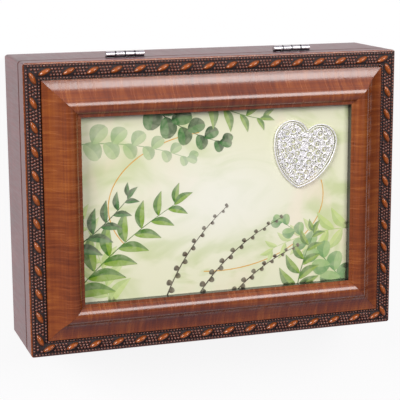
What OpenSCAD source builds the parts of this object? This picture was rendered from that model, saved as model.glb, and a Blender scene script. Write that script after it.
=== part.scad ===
// Keepsake box with a picture-frame lid: a velvet-lined wooden box on two butt hinges.
// Frame: origin at the centre of the underside, +Z up, hinges at the back on +Y, millimetres.

/* [Box] */
// Width of the box, side to side
box_w = 203.2; // [190:0.1:260]
// Depth of the box, front to back
box_d = 152.4; // [140:0.1:200]
// Height of the four walls
wall_h = 37.7; // [28:0.1:60]
// Thickness of the four walls
wall_t = 9; // [8.5:0.1:12]
// Radius on the upright corners of box and lid
corner_r = 1.8; // [0.8:0.1:3]
// Radius on the long edges of the walls and rails
edge_r = 0.7; // [0.2:0.05:0.8]
// Gap left for glue in each mitre
mitre_gap = 0.05; // [0.02:0.01:0.1]

/* [Base] */
// Thickness of the base panel
base_t = 3; // [2:0.1:5]
// Width of the ledge under the walls that holds the base panel
base_ledge = 5; // [4:0.1:6]
// Thickness of the felt under the box
felt_t = 1; // [0.6:0.1:2]
// Distance from the edge of the felt to the outside of the box
felt_inset = 2; // [1:0.1:3]
// Clearance round panels and boards
panel_gap = 0.2; // [0.1:0.05:0.4]
// Number of brads along the front and along the back
brads_long = 3; // [2:1:5]
// Number of brads along each side
brads_short = 2; // [2:1:4]
// Radius of a brad
brad_r = 0.6; // [0.4:0.05:0.8]
// Radius of a brad's head
brad_head_r = 1.2; // [1:0.05:1.6]
// Thickness of a brad's head
brad_head_t = 0.5; // [0.3:0.05:0.8]
// Length of a brad
brad_l = 11; // [8:0.1:16]

/* [Velvet lining] */
// Thickness of the boards that line the walls
lining_t = 2; // [1.5:0.1:3]
// Drop from the rim to the top of the lining
lining_drop = 2; // [1:0.1:5]
// Thickness of the pad on the floor
floor_pad_t = 3; // [2:0.1:5]
// Thickness of the padded panel inside the lid
lid_pad_t = 2.5; // [1.5:0.1:3.5]

/* [Lid frame] */
// Height of the plain strip round the outside of the lid
lid_edge_h = 11.75; // [10:0.05:16]
// Width of a rail, outer edge to sight edge
rail_w = 27.75; // [27:0.05:32]
// Width of the plain fillet outside the rope trim
fillet_w = 0.95; // [0.9:0.05:1.4]
// Radius on the outer edge of that fillet
fillet_r = 0.7; // [0.4:0.05:0.8]
// Width of the channel that holds the rope trim
channel_w = 7.95; // [7.8:0.05:8.6]
// Depth of that channel
channel_depth = 0.6; // [0.4:0.05:1]
// Height of the scoop's foot above the plain strip
foot_h = 1.95; // [1.8:0.05:2.2]
// Slope of the scoop at its foot
foot_slope = 3; // [1:0.5:5]
// Radius of the round crest
crest_r = 4.7; // [4.65:0.05:4.9]
// Height of the crest above the plain strip
crest_h = 8.85; // [8.7:0.05:9]
// Distance from the top of the crest to the sight edge
crest_inset = 5.9; // [5.7:0.05:5.95]
// Height of the sight edge above the plain strip
sight_h = 5.75; // [5.5:0.05:5.8]
// Width of the flat lip at the sight edge
lip_w = 1.7; // [1.5:0.05:1.9]
// Rise of that lip away from the sight edge
lip_rise = 0.25; // [0.1:0.05:0.3]
// Thickness of the frame over the print
lip_t = 3.9; // [3.6:0.05:4.1]
// Width of the rebate that holds the print
rebate_w = 2.55; // [2:0.05:3.5]

/* [Rope trim] */
// Clearance of the trim on the outer side of its channel
trim_gap = 0.05; // [0.02:0.01:0.1]
// Width of the open groove between the trim and the scoop
quirk_w = 0.45; // [0.3:0.05:0.8]
// Thickness of the strip under the ornament
trim_base_t = 1.6; // [1.4:0.05:1.8]
// Radius of the two bead rows
bead_r = 0.6; // [0.4:0.05:0.7]
// Pitch of the leaves along a rail
leaf_pitch = 12.3; // [10:0.1:16]
// Least distance from a rail's end to the middle of a leaf, before the shift
leaf_margin = 7.5; // [7:0.1:12]
// Shift of the leaves along the front, right, back and left rails
leaf_shift = [0.1, 1.6, 1.5, 0.8]; // [0:0.1:2]
// Length of a leaf
leaf_l = 7.2; // [6.5:0.1:7.6]
// Width of a leaf
leaf_w = 3; // [2.6:0.05:3.1]
// Height of a leaf above its strip
leaf_h = 2; // [1.6:0.05:2.1]
// Slant of a leaf to the rail
leaf_slant = 28; // [25:1:32]

/* [Print] */
// Thickness of the printed card
print_t = 0.5; // [0.3:0.05:1]
// Thickness of the board behind the print
backing_t = 3; // [2:0.1:4]
// Thickness of the steel points that hold the board
point_t = 0.5; // [0.4:0.05:0.8]
// Width of a point
point_w = 6; // [4:0.1:8]
// Depth that a point is driven into its rail
point_in = 4.5; // [3:0.1:6]
// Length of a point that stands out under the board
point_out = 4; // [3:0.1:6]
// Distance of the long rails' points from the middle
point_x = 45; // [30:0.5:60]
// Height of the corner nails in the frame's mitres
nail_h = 7; // [5:0.1:9]
// Length of each leg of a corner nail
nail_leg = 5; // [4:0.1:7]
// Thickness of a corner nail
nail_t = 0.6; // [0.4:0.05:0.8]
// Distance from the outer edge to the first corner nail
nail_inset = 6; // [4:0.1:8]
// Spacing of the two nails in a corner
nail_pitch = 9; // [8:0.1:10]

/* [Heart] */
// Width of the heart
heart_w = 36; // [30:0.5:40]
// Radius of its two lobes
heart_lobe_r = 9.8; // [9.4:0.1:10.2]
// Distance from the middle of the lobes to the tip
heart_tip = 26; // [23:0.5:28]
// Thickness of its pierced plate
heart_plate_t = 0.8; // [0.6:0.05:1.2]
// Height of its rim
heart_rim_h = 1.6; // [1.3:0.05:2]
// Width of its rim
heart_rim_w = 1; // [0.8:0.05:1.5]
// Distance of the heart's middle from the right sight edge
heart_right = 24.8; // [24:0.05:32]
// Distance of the heart's lobes from the back sight edge
heart_back = 18.4; // [15.5:0.05:22]
// Clockwise tilt of the heart
heart_tilt = 10; // [0:1:20]

/* [Hinges] */
// Distance of each hinge from the middle
hinge_x = 46; // [30:0.5:70]
// Length of a hinge
hinge_l = 20.4; // [18:0.1:26]
// Number of knuckles in a hinge
knuckles = 4; // [3:1:5]
// Radius of the barrel
barrel_r = 1.5; // [1.4:0.05:2]
// Radius of the pin
pin_r = 0.75; // [0.6:0.05:0.85]
// Running clearance round the pin
pin_gap = 0.03; // [0.02:0.01:0.08]
// Gap between knuckles
knuckle_gap = 0.2; // [0.1:0.05:0.3]
// Gap between the barrel and the back of the box
barrel_gap = 0.3; // [0.25:0.05:0.6]
// Thickness of a leaf plate
plate_t = 0.9; // [0.8:0.05:1.1]
// Width of a leaf plate
plate_w = 6.6; // [5.5:0.1:6.8]
// Distance of a plate's edge inside the back of the box
plate_inset = 0.1; // [0.05:0.05:0.4]
// Gap from each plate to the seam between box and lid
plate_gap = 0.1; // [0.05:0.01:0.2]
// Clearance round a plate in its recess
recess_gap = 0.15; // [0.1:0.01:0.25]
// Distance of the screws from the middle of a hinge
screw_x = 5.5; // [4:0.1:6.5]
// Radius of a screw's shank
screw_r = 0.8; // [0.6:0.05:0.9]
// Radius of a screw's head
screw_head_r = 1.55; // [1.4:0.05:1.65]
// Length of a screw
screw_l = 7; // [5:0.1:9]
// Length of a screw's point
screw_tip = 1.5; // [1:0.1:2]
// Width of the drive slots
slot_w = 0.4; // [0.3:0.05:0.6]
// Depth of the drive slots
slot_depth = 0.35; // [0.2:0.05:0.4]
// Clearance round screws, brads, points and nails
drive_gap = 0.05; // [0.02:0.01:0.1]

/* [Hidden] */
$fn = 64;

// Sides in turn: each is a quarter turn about +Z from the one before
FRONT = 0;
RIGHT = 1;
BACK = 2;
LEFT = 3;
SIDES = [FRONT, RIGHT, BACK, LEFT];

// Overshoot of cuts past the faces they open, and overlap of shapes that are joined
over = 0.1;

// Levels, from the floor up
seam_z = felt_t + wall_h;
base_top_z = felt_t + base_t;
lid_edge_z = seam_z + lid_edge_h;
lip_under_z = lid_edge_z + sight_h - lip_t;
print_z = lip_under_z - print_t;
backing_z = print_z - backing_t;
point_z = backing_z - point_t - drive_gap;
lid_pad_z = point_z - panel_gap - lid_pad_t;
channel_z = lid_edge_z - channel_depth;
trim_top_z = channel_z + trim_base_t;

// Distances in from the outer edge of a rail
channel_end = fillet_w + channel_w;
trim_u = fillet_w + trim_gap;
trim_w = channel_w - trim_gap - quirk_w;
crest_u = rail_w - crest_inset;
lip_u = rail_w - lip_w;
rebate_u = rail_w - rebate_w;

// Heights above the underside of the lid
channel_floor = lid_edge_h - channel_depth;
scoop_foot = lid_edge_h + foot_h;
crest_top = lid_edge_h + crest_h;
lip_top = lid_edge_h + sight_h;

// The scoop is the arc that starts at its foot with the given slope and runs smoothly into the round crest
crest_centre = [crest_u, crest_top - crest_r];
foot_up = [-sin(foot_slope), cos(foot_slope)];
foot_away = [channel_end, scoop_foot] - crest_centre;
scoop_r = (foot_away * foot_away - crest_r * crest_r) / (2 * (crest_r - foot_away * foot_up));
scoop_centre = [channel_end, scoop_foot] + scoop_r * foot_up;
crest_to_scoop = (scoop_centre - crest_centre) / (scoop_r + crest_r);

// Clear size inside the walls and inside the lid's rebate
inner_w = box_w - 2 * wall_t;
inner_d = box_d - 2 * wall_t;
rebate_open_w = box_w - 2 * rebate_u;
rebate_open_d = box_d - 2 * rebate_u;

// Linings
lining_z = base_top_z + panel_gap;
lining_h = wall_h - base_t - lining_drop - panel_gap;
lining_out = lining_t + panel_gap;

// A leaf is the lens common to two balls, sunk into its strip
leaf_ring_r = (leaf_l * leaf_l / 4 + leaf_h * leaf_h) / (2 * leaf_h);
leaf_sink = leaf_ring_r - leaf_h;
leaf_ball_off = (leaf_l * leaf_l / (2 * leaf_w) - leaf_w / 2) / 2;
leaf_ball_r = sqrt(leaf_ball_off * leaf_ball_off + leaf_ring_r * leaf_ring_r);

// The heart's sides are arcs that leave the lobes upright and meet at the tip
heart_half = heart_w / 2;
heart_x = box_w / 2 - rail_w - heart_right;
heart_y = box_d / 2 - rail_w - heart_back;
heart_side_r = (heart_tip * heart_tip + heart_half * heart_half) / heart_w;

// Hinge axis and knuckles
axis_out = barrel_r + barrel_gap;
axis_y = box_d / 2 + axis_out;
knuckle_pitch = hinge_l / knuckles;
plate_back = axis_out + plate_inset;
screw_u = plate_back + plate_w / 2;
screw_head_h = screw_head_r - screw_r;
BODY_LEAF = 0;
LID_LEAF = 1;

// Length of a side, and the size of the box across it
function run(side) = side % 2 == 0 ? box_w : box_d;
function reach(side) = side % 2 == 0 ? box_d : box_w;
function leaf_count(side) = floor((run(side) - 2 * leaf_margin) / leaf_pitch) + 1;
// Places spread evenly over a length, with half a step at each end
function spread(length, n) = [for (i = [0:n - 1]) (i + 0.5 - n / 2) * length / n];

// Puts a shape drawn for the front, with y = 0 on the outer face, on any side
module on_side(side) {
    rotate([0, 0, 90 * side]) translate([0, -reach(side) / 2, 0]) children();
}

// Mitres the ends of a shape drawn for the front and puts it on any side
module mitred(side, depth) {
    half = run(side) / 2 - mitre_gap;
    on_side(side) intersection() {
        children();
        linear_extrude(lid_edge_z + crest_h + over)
            polygon([[-half, 0], [half, 0], [half - depth, depth], [depth - half, depth]]);
    }
}

// Stretches a section, drawn as inset by height, along a side and mitres its ends
module mitred_stick(side, depth, z) {
    mitred(side, depth)
        translate([0, 0, z]) rotate([90, 0, 90]) linear_extrude(run(side), center = true) children();
}

// Plan of the box with its rounded upright corners
module plan_outline() {
    square([box_w - 2 * corner_r, box_d], center = true);
    square([box_w, box_d - 2 * corner_r], center = true);
    for (x = [-1, 1], y = [-1, 1])
        translate([x * (box_w / 2 - corner_r), y * (box_d / 2 - corner_r)]) circle(corner_r);
}

// Upright block with the rounded plan
module plan_block(z, h) {
    translate([0, 0, z]) linear_extrude(h) plan_outline();
}

// Waste that rounds a square corner of a section, for a corner in the given quarter
module eased_corner(at, quarter, r = edge_r) {
    translate(at) rotate([0, 0, 90 * quarter]) difference() {
        translate([-over, -over]) square(r + over);
        translate([r, r]) circle(r);
    }
}

// Section of a wall, with the ledge for the base panel
module wall_section() {
    difference() {
        square([wall_t, wall_h]);
        translate([wall_t - base_ledge, -over]) square([base_ledge + over, base_t + over]);
        eased_corner([0, 0], 0);
        eased_corner([wall_t, wall_h], 2);
        eased_corner([0, wall_h], 3);
    }
}

// Waste round the crest, from where the scoop runs into it to the lip
module crest_waste() {
    corner = crest_centre + (crest_top - scoop_foot + crest_r) * crest_to_scoop;
    difference() {
        polygon([crest_centre, corner, [lip_u + over, corner[1]], [lip_u + over, crest_centre[1]]]);
        translate(crest_centre) circle(crest_r);
    }
}

// Section of a frame rail, from the outer edge in to the sight edge
module rail_section() {
    difference() {
        polygon([[0, 0], [0, lid_edge_h], [fillet_w, lid_edge_h], [fillet_w, channel_floor],
                 [channel_end, channel_floor], [channel_end, crest_top], [lip_u, crest_top],
                 [lip_u, lip_top + lip_rise], [rail_w, lip_top],
                 [rail_w, lip_top - lip_t], [rebate_u, lip_top - lip_t], [rebate_u, 0]]);
        translate(scoop_centre) circle(scoop_r);
        crest_waste();
        eased_corner([0, 0], 0);
        eased_corner([0, lid_edge_h], 3, fillet_r);
    }
}

// Section of the rope trim's strip with its two bead rows
module trim_section() {
    translate([trim_u, 0]) square([trim_w, trim_base_t]);
    for (u = [trim_u + bead_r, trim_u + trim_w - bead_r]) translate([u, trim_base_t]) circle(bead_r);
}

// One leaf of the rope trim, standing on z = 0
module trim_leaf() {
    intersection() {
        translate([0, leaf_ball_off, -leaf_sink]) sphere(leaf_ball_r);
        translate([0, -leaf_ball_off, -leaf_sink]) sphere(leaf_ball_r);
        translate([-leaf_l, -leaf_w, -trim_base_t / 2]) cube([2 * leaf_l, 2 * leaf_w, trim_base_t + leaf_h]);
    }
}

// Outline of the heart, drawn in by a margin
module heart_outline(margin) {
    lobe_x = heart_half - heart_lobe_r;
    side_x = heart_side_r - heart_half;
    for (x = [-lobe_x, lobe_x]) translate([x, 0]) circle(heart_lobe_r - margin);
    intersection() {
        translate([-side_x, 0]) circle(heart_side_r - margin);
        translate([side_x, 0]) circle(heart_side_r - margin);
        translate([-heart_half, -heart_tip]) square([heart_w, heart_tip]);
    }
}

// Places of the brads along a side
function brad_places(side) = side % 2 == 0 ? spread(inner_w, brads_long) : spread(inner_d, brads_short);

// Puts a shape at each brad
module each_brad() {
    for (side = SIDES, x = brad_places(side)) on_side(side)
        translate([x, wall_t - base_ledge / 2, felt_t]) children();
}

// A brad driven up from z = 0, grown by a clearance
module brad(gap) {
    cylinder(r = brad_head_r + gap, h = brad_head_t + gap);
    cylinder(r = brad_r + gap, h = brad_l + gap);
}

// Puts a hinge part, drawn about its axis, at the left (-1) or right (1) hinge, for the lid or turned over
module at_hinge(hand, leaf) {
    translate([hand * hinge_x, axis_y, seam_z]) mirror([0, 0, leaf == BODY_LEAF ? 1 : 0]) children();
}

// Puts a shape at each screw of a leaf, on the face of its plate
module each_screw() {
    for (x = [-screw_x, screw_x]) translate([x, -screw_u, plate_gap]) children();
}

// A countersunk screw driven up from z = 0, grown by a clearance
module screw(gap) {
    shank_end = screw_l - screw_tip + gap;
    cylinder(r1 = screw_head_r + gap, r2 = screw_r + gap, h = screw_head_h);
    cylinder(r = screw_r + gap, h = shank_end);
    translate([0, 0, shank_end]) cylinder(r1 = screw_r + gap, r2 = 0, h = screw_tip);
}

// One leaf of a hinge: its plate, its share of the knuckles, the pin's bore and the screw holes
module hinge_leaf(hand, leaf) {
    at_hinge(hand, leaf) difference() {
        union() {
            translate([-hinge_l / 2, -plate_back - plate_w, plate_gap]) cube([hinge_l, plate_w, plate_t]);
            for (i = [0:knuckles - 1]) if (i % 2 == leaf)
                translate([knuckle_gap / 2 - hinge_l / 2 + i * knuckle_pitch, 0, 0]) {
                    rotate([0, 90, 0]) cylinder(r = barrel_r, h = knuckle_pitch - knuckle_gap);
                    translate([0, -plate_back - over, plate_gap])
                        cube([knuckle_pitch - knuckle_gap, plate_back + over, plate_t]);
                }
        }
        rotate([0, 90, 0]) cylinder(r = pin_r + pin_gap, h = hinge_l + 2 * over, center = true);
        each_screw() screw(drive_gap);
    }
}

// Recess for a hinge plate and its screws, cut into a wall or a rail
module hinge_recess(hand, leaf) {
    at_hinge(hand, leaf) {
        translate([-hinge_l / 2 - recess_gap, -plate_back - plate_w - recess_gap, -over])
            cube([hinge_l + 2 * recess_gap, plate_w + plate_back + recess_gap,
                  plate_t + plate_gap + recess_gap + over]);
        each_screw() screw(drive_gap);
    }
}

// The two screws of one leaf, with crossed drive slots
module leaf_screws(hand, leaf) {
    at_hinge(hand, leaf) each_screw() difference() {
        screw(0);
        for (turn = [0, 90]) rotate([0, 0, turn])
            translate([-screw_head_r / 2, -slot_w / 2, -over]) cube([screw_head_r, slot_w, slot_depth + over]);
    }
}

module hinge_pin(hand) {
    color("silver") at_hinge(hand, LID_LEAF)
        rotate([0, 90, 0]) cylinder(r = pin_r, h = hinge_l - knuckle_gap, center = true);
}

// A corner nail standing across a mitre on z = 0, with its legs along the two rails, grown by a clearance
module corner_nail(gap) {
    for (turn = [0, 1]) mirror([turn, -turn, 0])
        translate([-nail_t / 2 - gap, -nail_t / 2 - gap, -gap])
            cube([nail_leg + 2 * gap, nail_t + 2 * gap, nail_h + 2 * gap]);
}

// Both nails in all four corners
module each_corner_nail(gap) {
    for (x = [0, 1], y = [0, 1], i = [0, 1]) mirror([x, 0, 0]) mirror([0, y, 0])
        translate([nail_inset + i * nail_pitch - box_w / 2, nail_inset + i * nail_pitch - box_d / 2, seam_z])
            corner_nail(gap);
}

// All the points under the backing board, grown by a clearance
module each_point(gap) {
    for (side = SIDES, x = side % 2 == 0 ? [-point_x, point_x] : [0]) on_side(side)
        translate([x - point_w / 2 - gap, rebate_u - point_in - gap, point_z - gap])
            cube([point_w + 2 * gap, point_in + point_out + 2 * gap, point_t + 2 * gap]);
}

module wall(side) {
    color("saddlebrown") difference() {
        intersection() {
            mitred_stick(side, wall_t, felt_t) wall_section();
            plan_block(felt_t, wall_h);
        }
        each_brad() brad(drive_gap);
        if (side == BACK) for (hand = [-1, 1]) hinge_recess(hand, BODY_LEAF);
    }
}

module rail(side) {
    color("sienna") difference() {
        intersection() {
            mitred_stick(side, rail_w, seam_z) rail_section();
            plan_block(seam_z, lid_edge_h + crest_h);
        }
        each_point(drive_gap);
        each_corner_nail(drive_gap);
        if (side == BACK) for (hand = [-1, 1]) hinge_recess(hand, LID_LEAF);
    }
}

module rope_trim(side) {
    n = leaf_count(side);
    color("peru") {
        mitred_stick(side, rail_w, channel_z) trim_section();
        mitred(side, rail_w) for (i = [0:n - 1])
            translate([(i - (n - 1) / 2) * leaf_pitch - leaf_shift[side], trim_u + trim_w / 2, trim_top_z])
                rotate([0, 0, leaf_slant]) trim_leaf();
    }
}

// A flat board centred on the box
module board(w, d, z, t) {
    translate([-w / 2, -d / 2, z]) cube([w, d, t]);
}

module base_panel() {
    grown = 2 * (base_ledge - panel_gap);
    color("tan") difference() {
        board(inner_w + grown, inner_d + grown, felt_t, base_t);
        each_brad() brad(drive_gap);
    }
}

module base_brads() {
    color("gray") each_brad() brad(0);
}

module felt_base() {
    color("black") board(box_w - 2 * felt_inset, box_d - 2 * felt_inset, 0, felt_t);
}

module floor_lining() {
    shy = 2 * (lining_out + panel_gap);
    color("maroon") board(inner_w - shy, inner_d - shy, lining_z, floor_pad_t);
}

// Lining of one wall: the front and back run the full width, the sides fit between them
module wall_lining(side) {
    length = side % 2 == 0 ? inner_w - 2 * panel_gap : inner_d - 2 * (lining_out + panel_gap);
    color("maroon") on_side(side)
        translate([-length / 2, wall_t + panel_gap, lining_z]) cube([length, lining_t, lining_h]);
}

module body_leaf_screws() {
    color("silver") for (hand = [-1, 1]) leaf_screws(hand, BODY_LEAF);
}

module lid_leaf_screws() {
    color("silver") for (hand = [-1, 1]) leaf_screws(hand, LID_LEAF);
}

module print_sheet() {
    color("ivory") board(rebate_open_w - 2 * panel_gap, rebate_open_d - 2 * panel_gap, print_z, print_t);
}

module backing_board() {
    color("tan") board(rebate_open_w - 2 * panel_gap, rebate_open_d - 2 * panel_gap, backing_z, backing_t);
}

module frame_points() {
    color("gray") each_point(0);
}

module corner_nails() {
    color("gray") each_corner_nail(0);
}

module lid_lining() {
    color("maroon") board(rebate_open_w - 2 * panel_gap, rebate_open_d - 2 * panel_gap, lid_pad_z, lid_pad_t);
}

module heart_ornament() {
    color("gainsboro") translate([heart_x, heart_y, lip_under_z]) rotate([0, 0, -heart_tilt]) {
        linear_extrude(heart_plate_t) heart_outline(0);
        linear_extrude(heart_rim_h) difference() {
            heart_outline(0);
            heart_outline(heart_rim_w);
        }
    }
}

module plated_leaf(hand, leaf) {
    color("silver") hinge_leaf(hand, leaf);
}

wall(FRONT);  // front_wall
wall(BACK);  // back_wall
wall(LEFT);  // left_wall
wall(RIGHT);  // right_wall
base_panel();
base_brads();
felt_base();
floor_lining();
wall_lining(FRONT);  // front_lining
wall_lining(BACK);  // back_lining
wall_lining(LEFT);  // left_lining
wall_lining(RIGHT);  // right_lining
plated_leaf(-1, BODY_LEAF);  // left_body_leaf
plated_leaf(1, BODY_LEAF);  // right_body_leaf
hinge_pin(-1);  // left_hinge_pin
hinge_pin(1);  // right_hinge_pin
body_leaf_screws();
rail(FRONT);  // front_rail
rail(BACK);  // back_rail
rail(LEFT);  // left_rail
rail(RIGHT);  // right_rail
rope_trim(FRONT);  // front_rope_trim
rope_trim(BACK);  // back_rope_trim
rope_trim(LEFT);  // left_rope_trim
rope_trim(RIGHT);  // right_rope_trim
print_sheet();
backing_board();
frame_points();
corner_nails();
lid_lining();
heart_ornament();
plated_leaf(-1, LID_LEAF);  // left_lid_leaf
plated_leaf(1, LID_LEAF);  // right_lid_leaf
lid_leaf_screws();
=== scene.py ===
"""Keepsake box with a picture-frame lid: finishes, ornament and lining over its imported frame.

Lengths are metres in the frame of the part. The origin is under the middle of the box, +Z rises through the
lid and +Y points to the hinges.
"""

import logging
import math
from collections.abc import Iterable, Sequence
from dataclasses import dataclass
from enum import Enum
from random import Random

import bmesh
import bpy
import numpy as np
from mathutils import Matrix, Vector


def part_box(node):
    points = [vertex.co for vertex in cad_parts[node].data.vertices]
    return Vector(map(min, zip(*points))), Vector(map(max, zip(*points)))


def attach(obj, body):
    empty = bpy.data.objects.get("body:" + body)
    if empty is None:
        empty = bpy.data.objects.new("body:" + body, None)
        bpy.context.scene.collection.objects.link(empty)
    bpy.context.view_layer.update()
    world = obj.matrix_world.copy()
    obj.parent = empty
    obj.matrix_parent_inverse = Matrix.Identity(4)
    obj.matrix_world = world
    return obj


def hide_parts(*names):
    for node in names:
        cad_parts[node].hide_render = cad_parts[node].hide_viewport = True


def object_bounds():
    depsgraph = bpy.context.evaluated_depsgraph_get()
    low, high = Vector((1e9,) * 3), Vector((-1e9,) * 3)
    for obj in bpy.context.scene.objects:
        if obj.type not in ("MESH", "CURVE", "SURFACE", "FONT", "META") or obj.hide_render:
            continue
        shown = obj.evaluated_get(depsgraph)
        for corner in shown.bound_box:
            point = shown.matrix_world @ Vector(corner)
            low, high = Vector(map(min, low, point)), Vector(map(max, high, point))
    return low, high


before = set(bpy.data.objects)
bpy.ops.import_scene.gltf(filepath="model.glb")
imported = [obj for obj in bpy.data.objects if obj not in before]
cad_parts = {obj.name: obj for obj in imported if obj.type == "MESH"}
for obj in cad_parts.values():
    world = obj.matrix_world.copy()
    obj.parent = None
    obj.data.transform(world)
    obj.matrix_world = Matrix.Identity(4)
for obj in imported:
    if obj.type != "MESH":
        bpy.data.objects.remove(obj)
CAD_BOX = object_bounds()

LOG = logging.getLogger("keepsake_box")
MM = 0.001

Pair = tuple[float, float]
Triple = tuple[float, float, float]
Colour = tuple[float, float, float]
Face = tuple[int, ...]
Shell = tuple[np.ndarray, list[Face]]
Socket = bpy.types.NodeSocket

# Name of the colour and cover kept at each point of a mesh, and the row for a mesh that needs none
TINT = "tint"
BARE = np.zeros(4)
# Range that nearly all of a noise lies in
NOISE_RANGE: Pair = (0.3, 0.7)
WHITE: Colour = (1.0, 1.0, 1.0)
BLACK: Colour = (0.0, 0.0, 0.0)
STEEL_BRIGHT: Colour = (0.60, 0.59, 0.57)
STEEL_DULL: Colour = (0.42, 0.41, 0.40)


class Grain(Enum):
    """Direction that a stick of wood runs in."""

    ALONG_X = "x"
    ALONG_Y = "y"

    def per_metre(self, along: float, across: float) -> Triple:
        """Gives the stretch of a pattern that repeats so many times along and across the stick."""
        return (along, across, across) if self is Grain.ALONG_X else (across, along, across)

    def nodes(self, part: str) -> list[str]:
        """Names the nodes of that part on the two sides whose sticks run this way."""
        return [f"{side.label}_{part}" for side in Side if side.grain is self]


class Side(Enum):
    """Sides of the box, as quarter turns about +Z from the front."""

    FRONT = 0
    RIGHT = 1
    BACK = 2
    LEFT = 3

    @property
    def label(self) -> str:
        """The side's name as the nodes spell it."""
        return self.name.lower()

    @property
    def grain(self) -> Grain:
        """The direction that this side's sticks run in."""
        return Grain.ALONG_X if self.value % 2 == 0 else Grain.ALONG_Y

    def half_sizes(self) -> Pair:
        """Measures the lid from its middle.

        Returns:
            Half the length of this side, and half the lid's size across it.
        """
        half_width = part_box("right_rail")[1].x
        half_depth = -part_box("front_rail")[0].y
        return (half_width, half_depth) if self.grain is Grain.ALONG_X else (half_depth, half_width)

    def placed(self, points: np.ndarray) -> np.ndarray:
        """Turns points drawn for the front onto this side.

        Args:
            points: Rows of distance along the side, inset from its outer face, and height.

        Returns:
            The same points in the frame of the part.
        """
        moved = points.copy()
        moved[:, 1] -= self.half_sizes()[1]
        turn = Matrix.Rotation(self.value * math.pi / 2, 3, "Z")
        return moved @ np.array(turn).T


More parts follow.
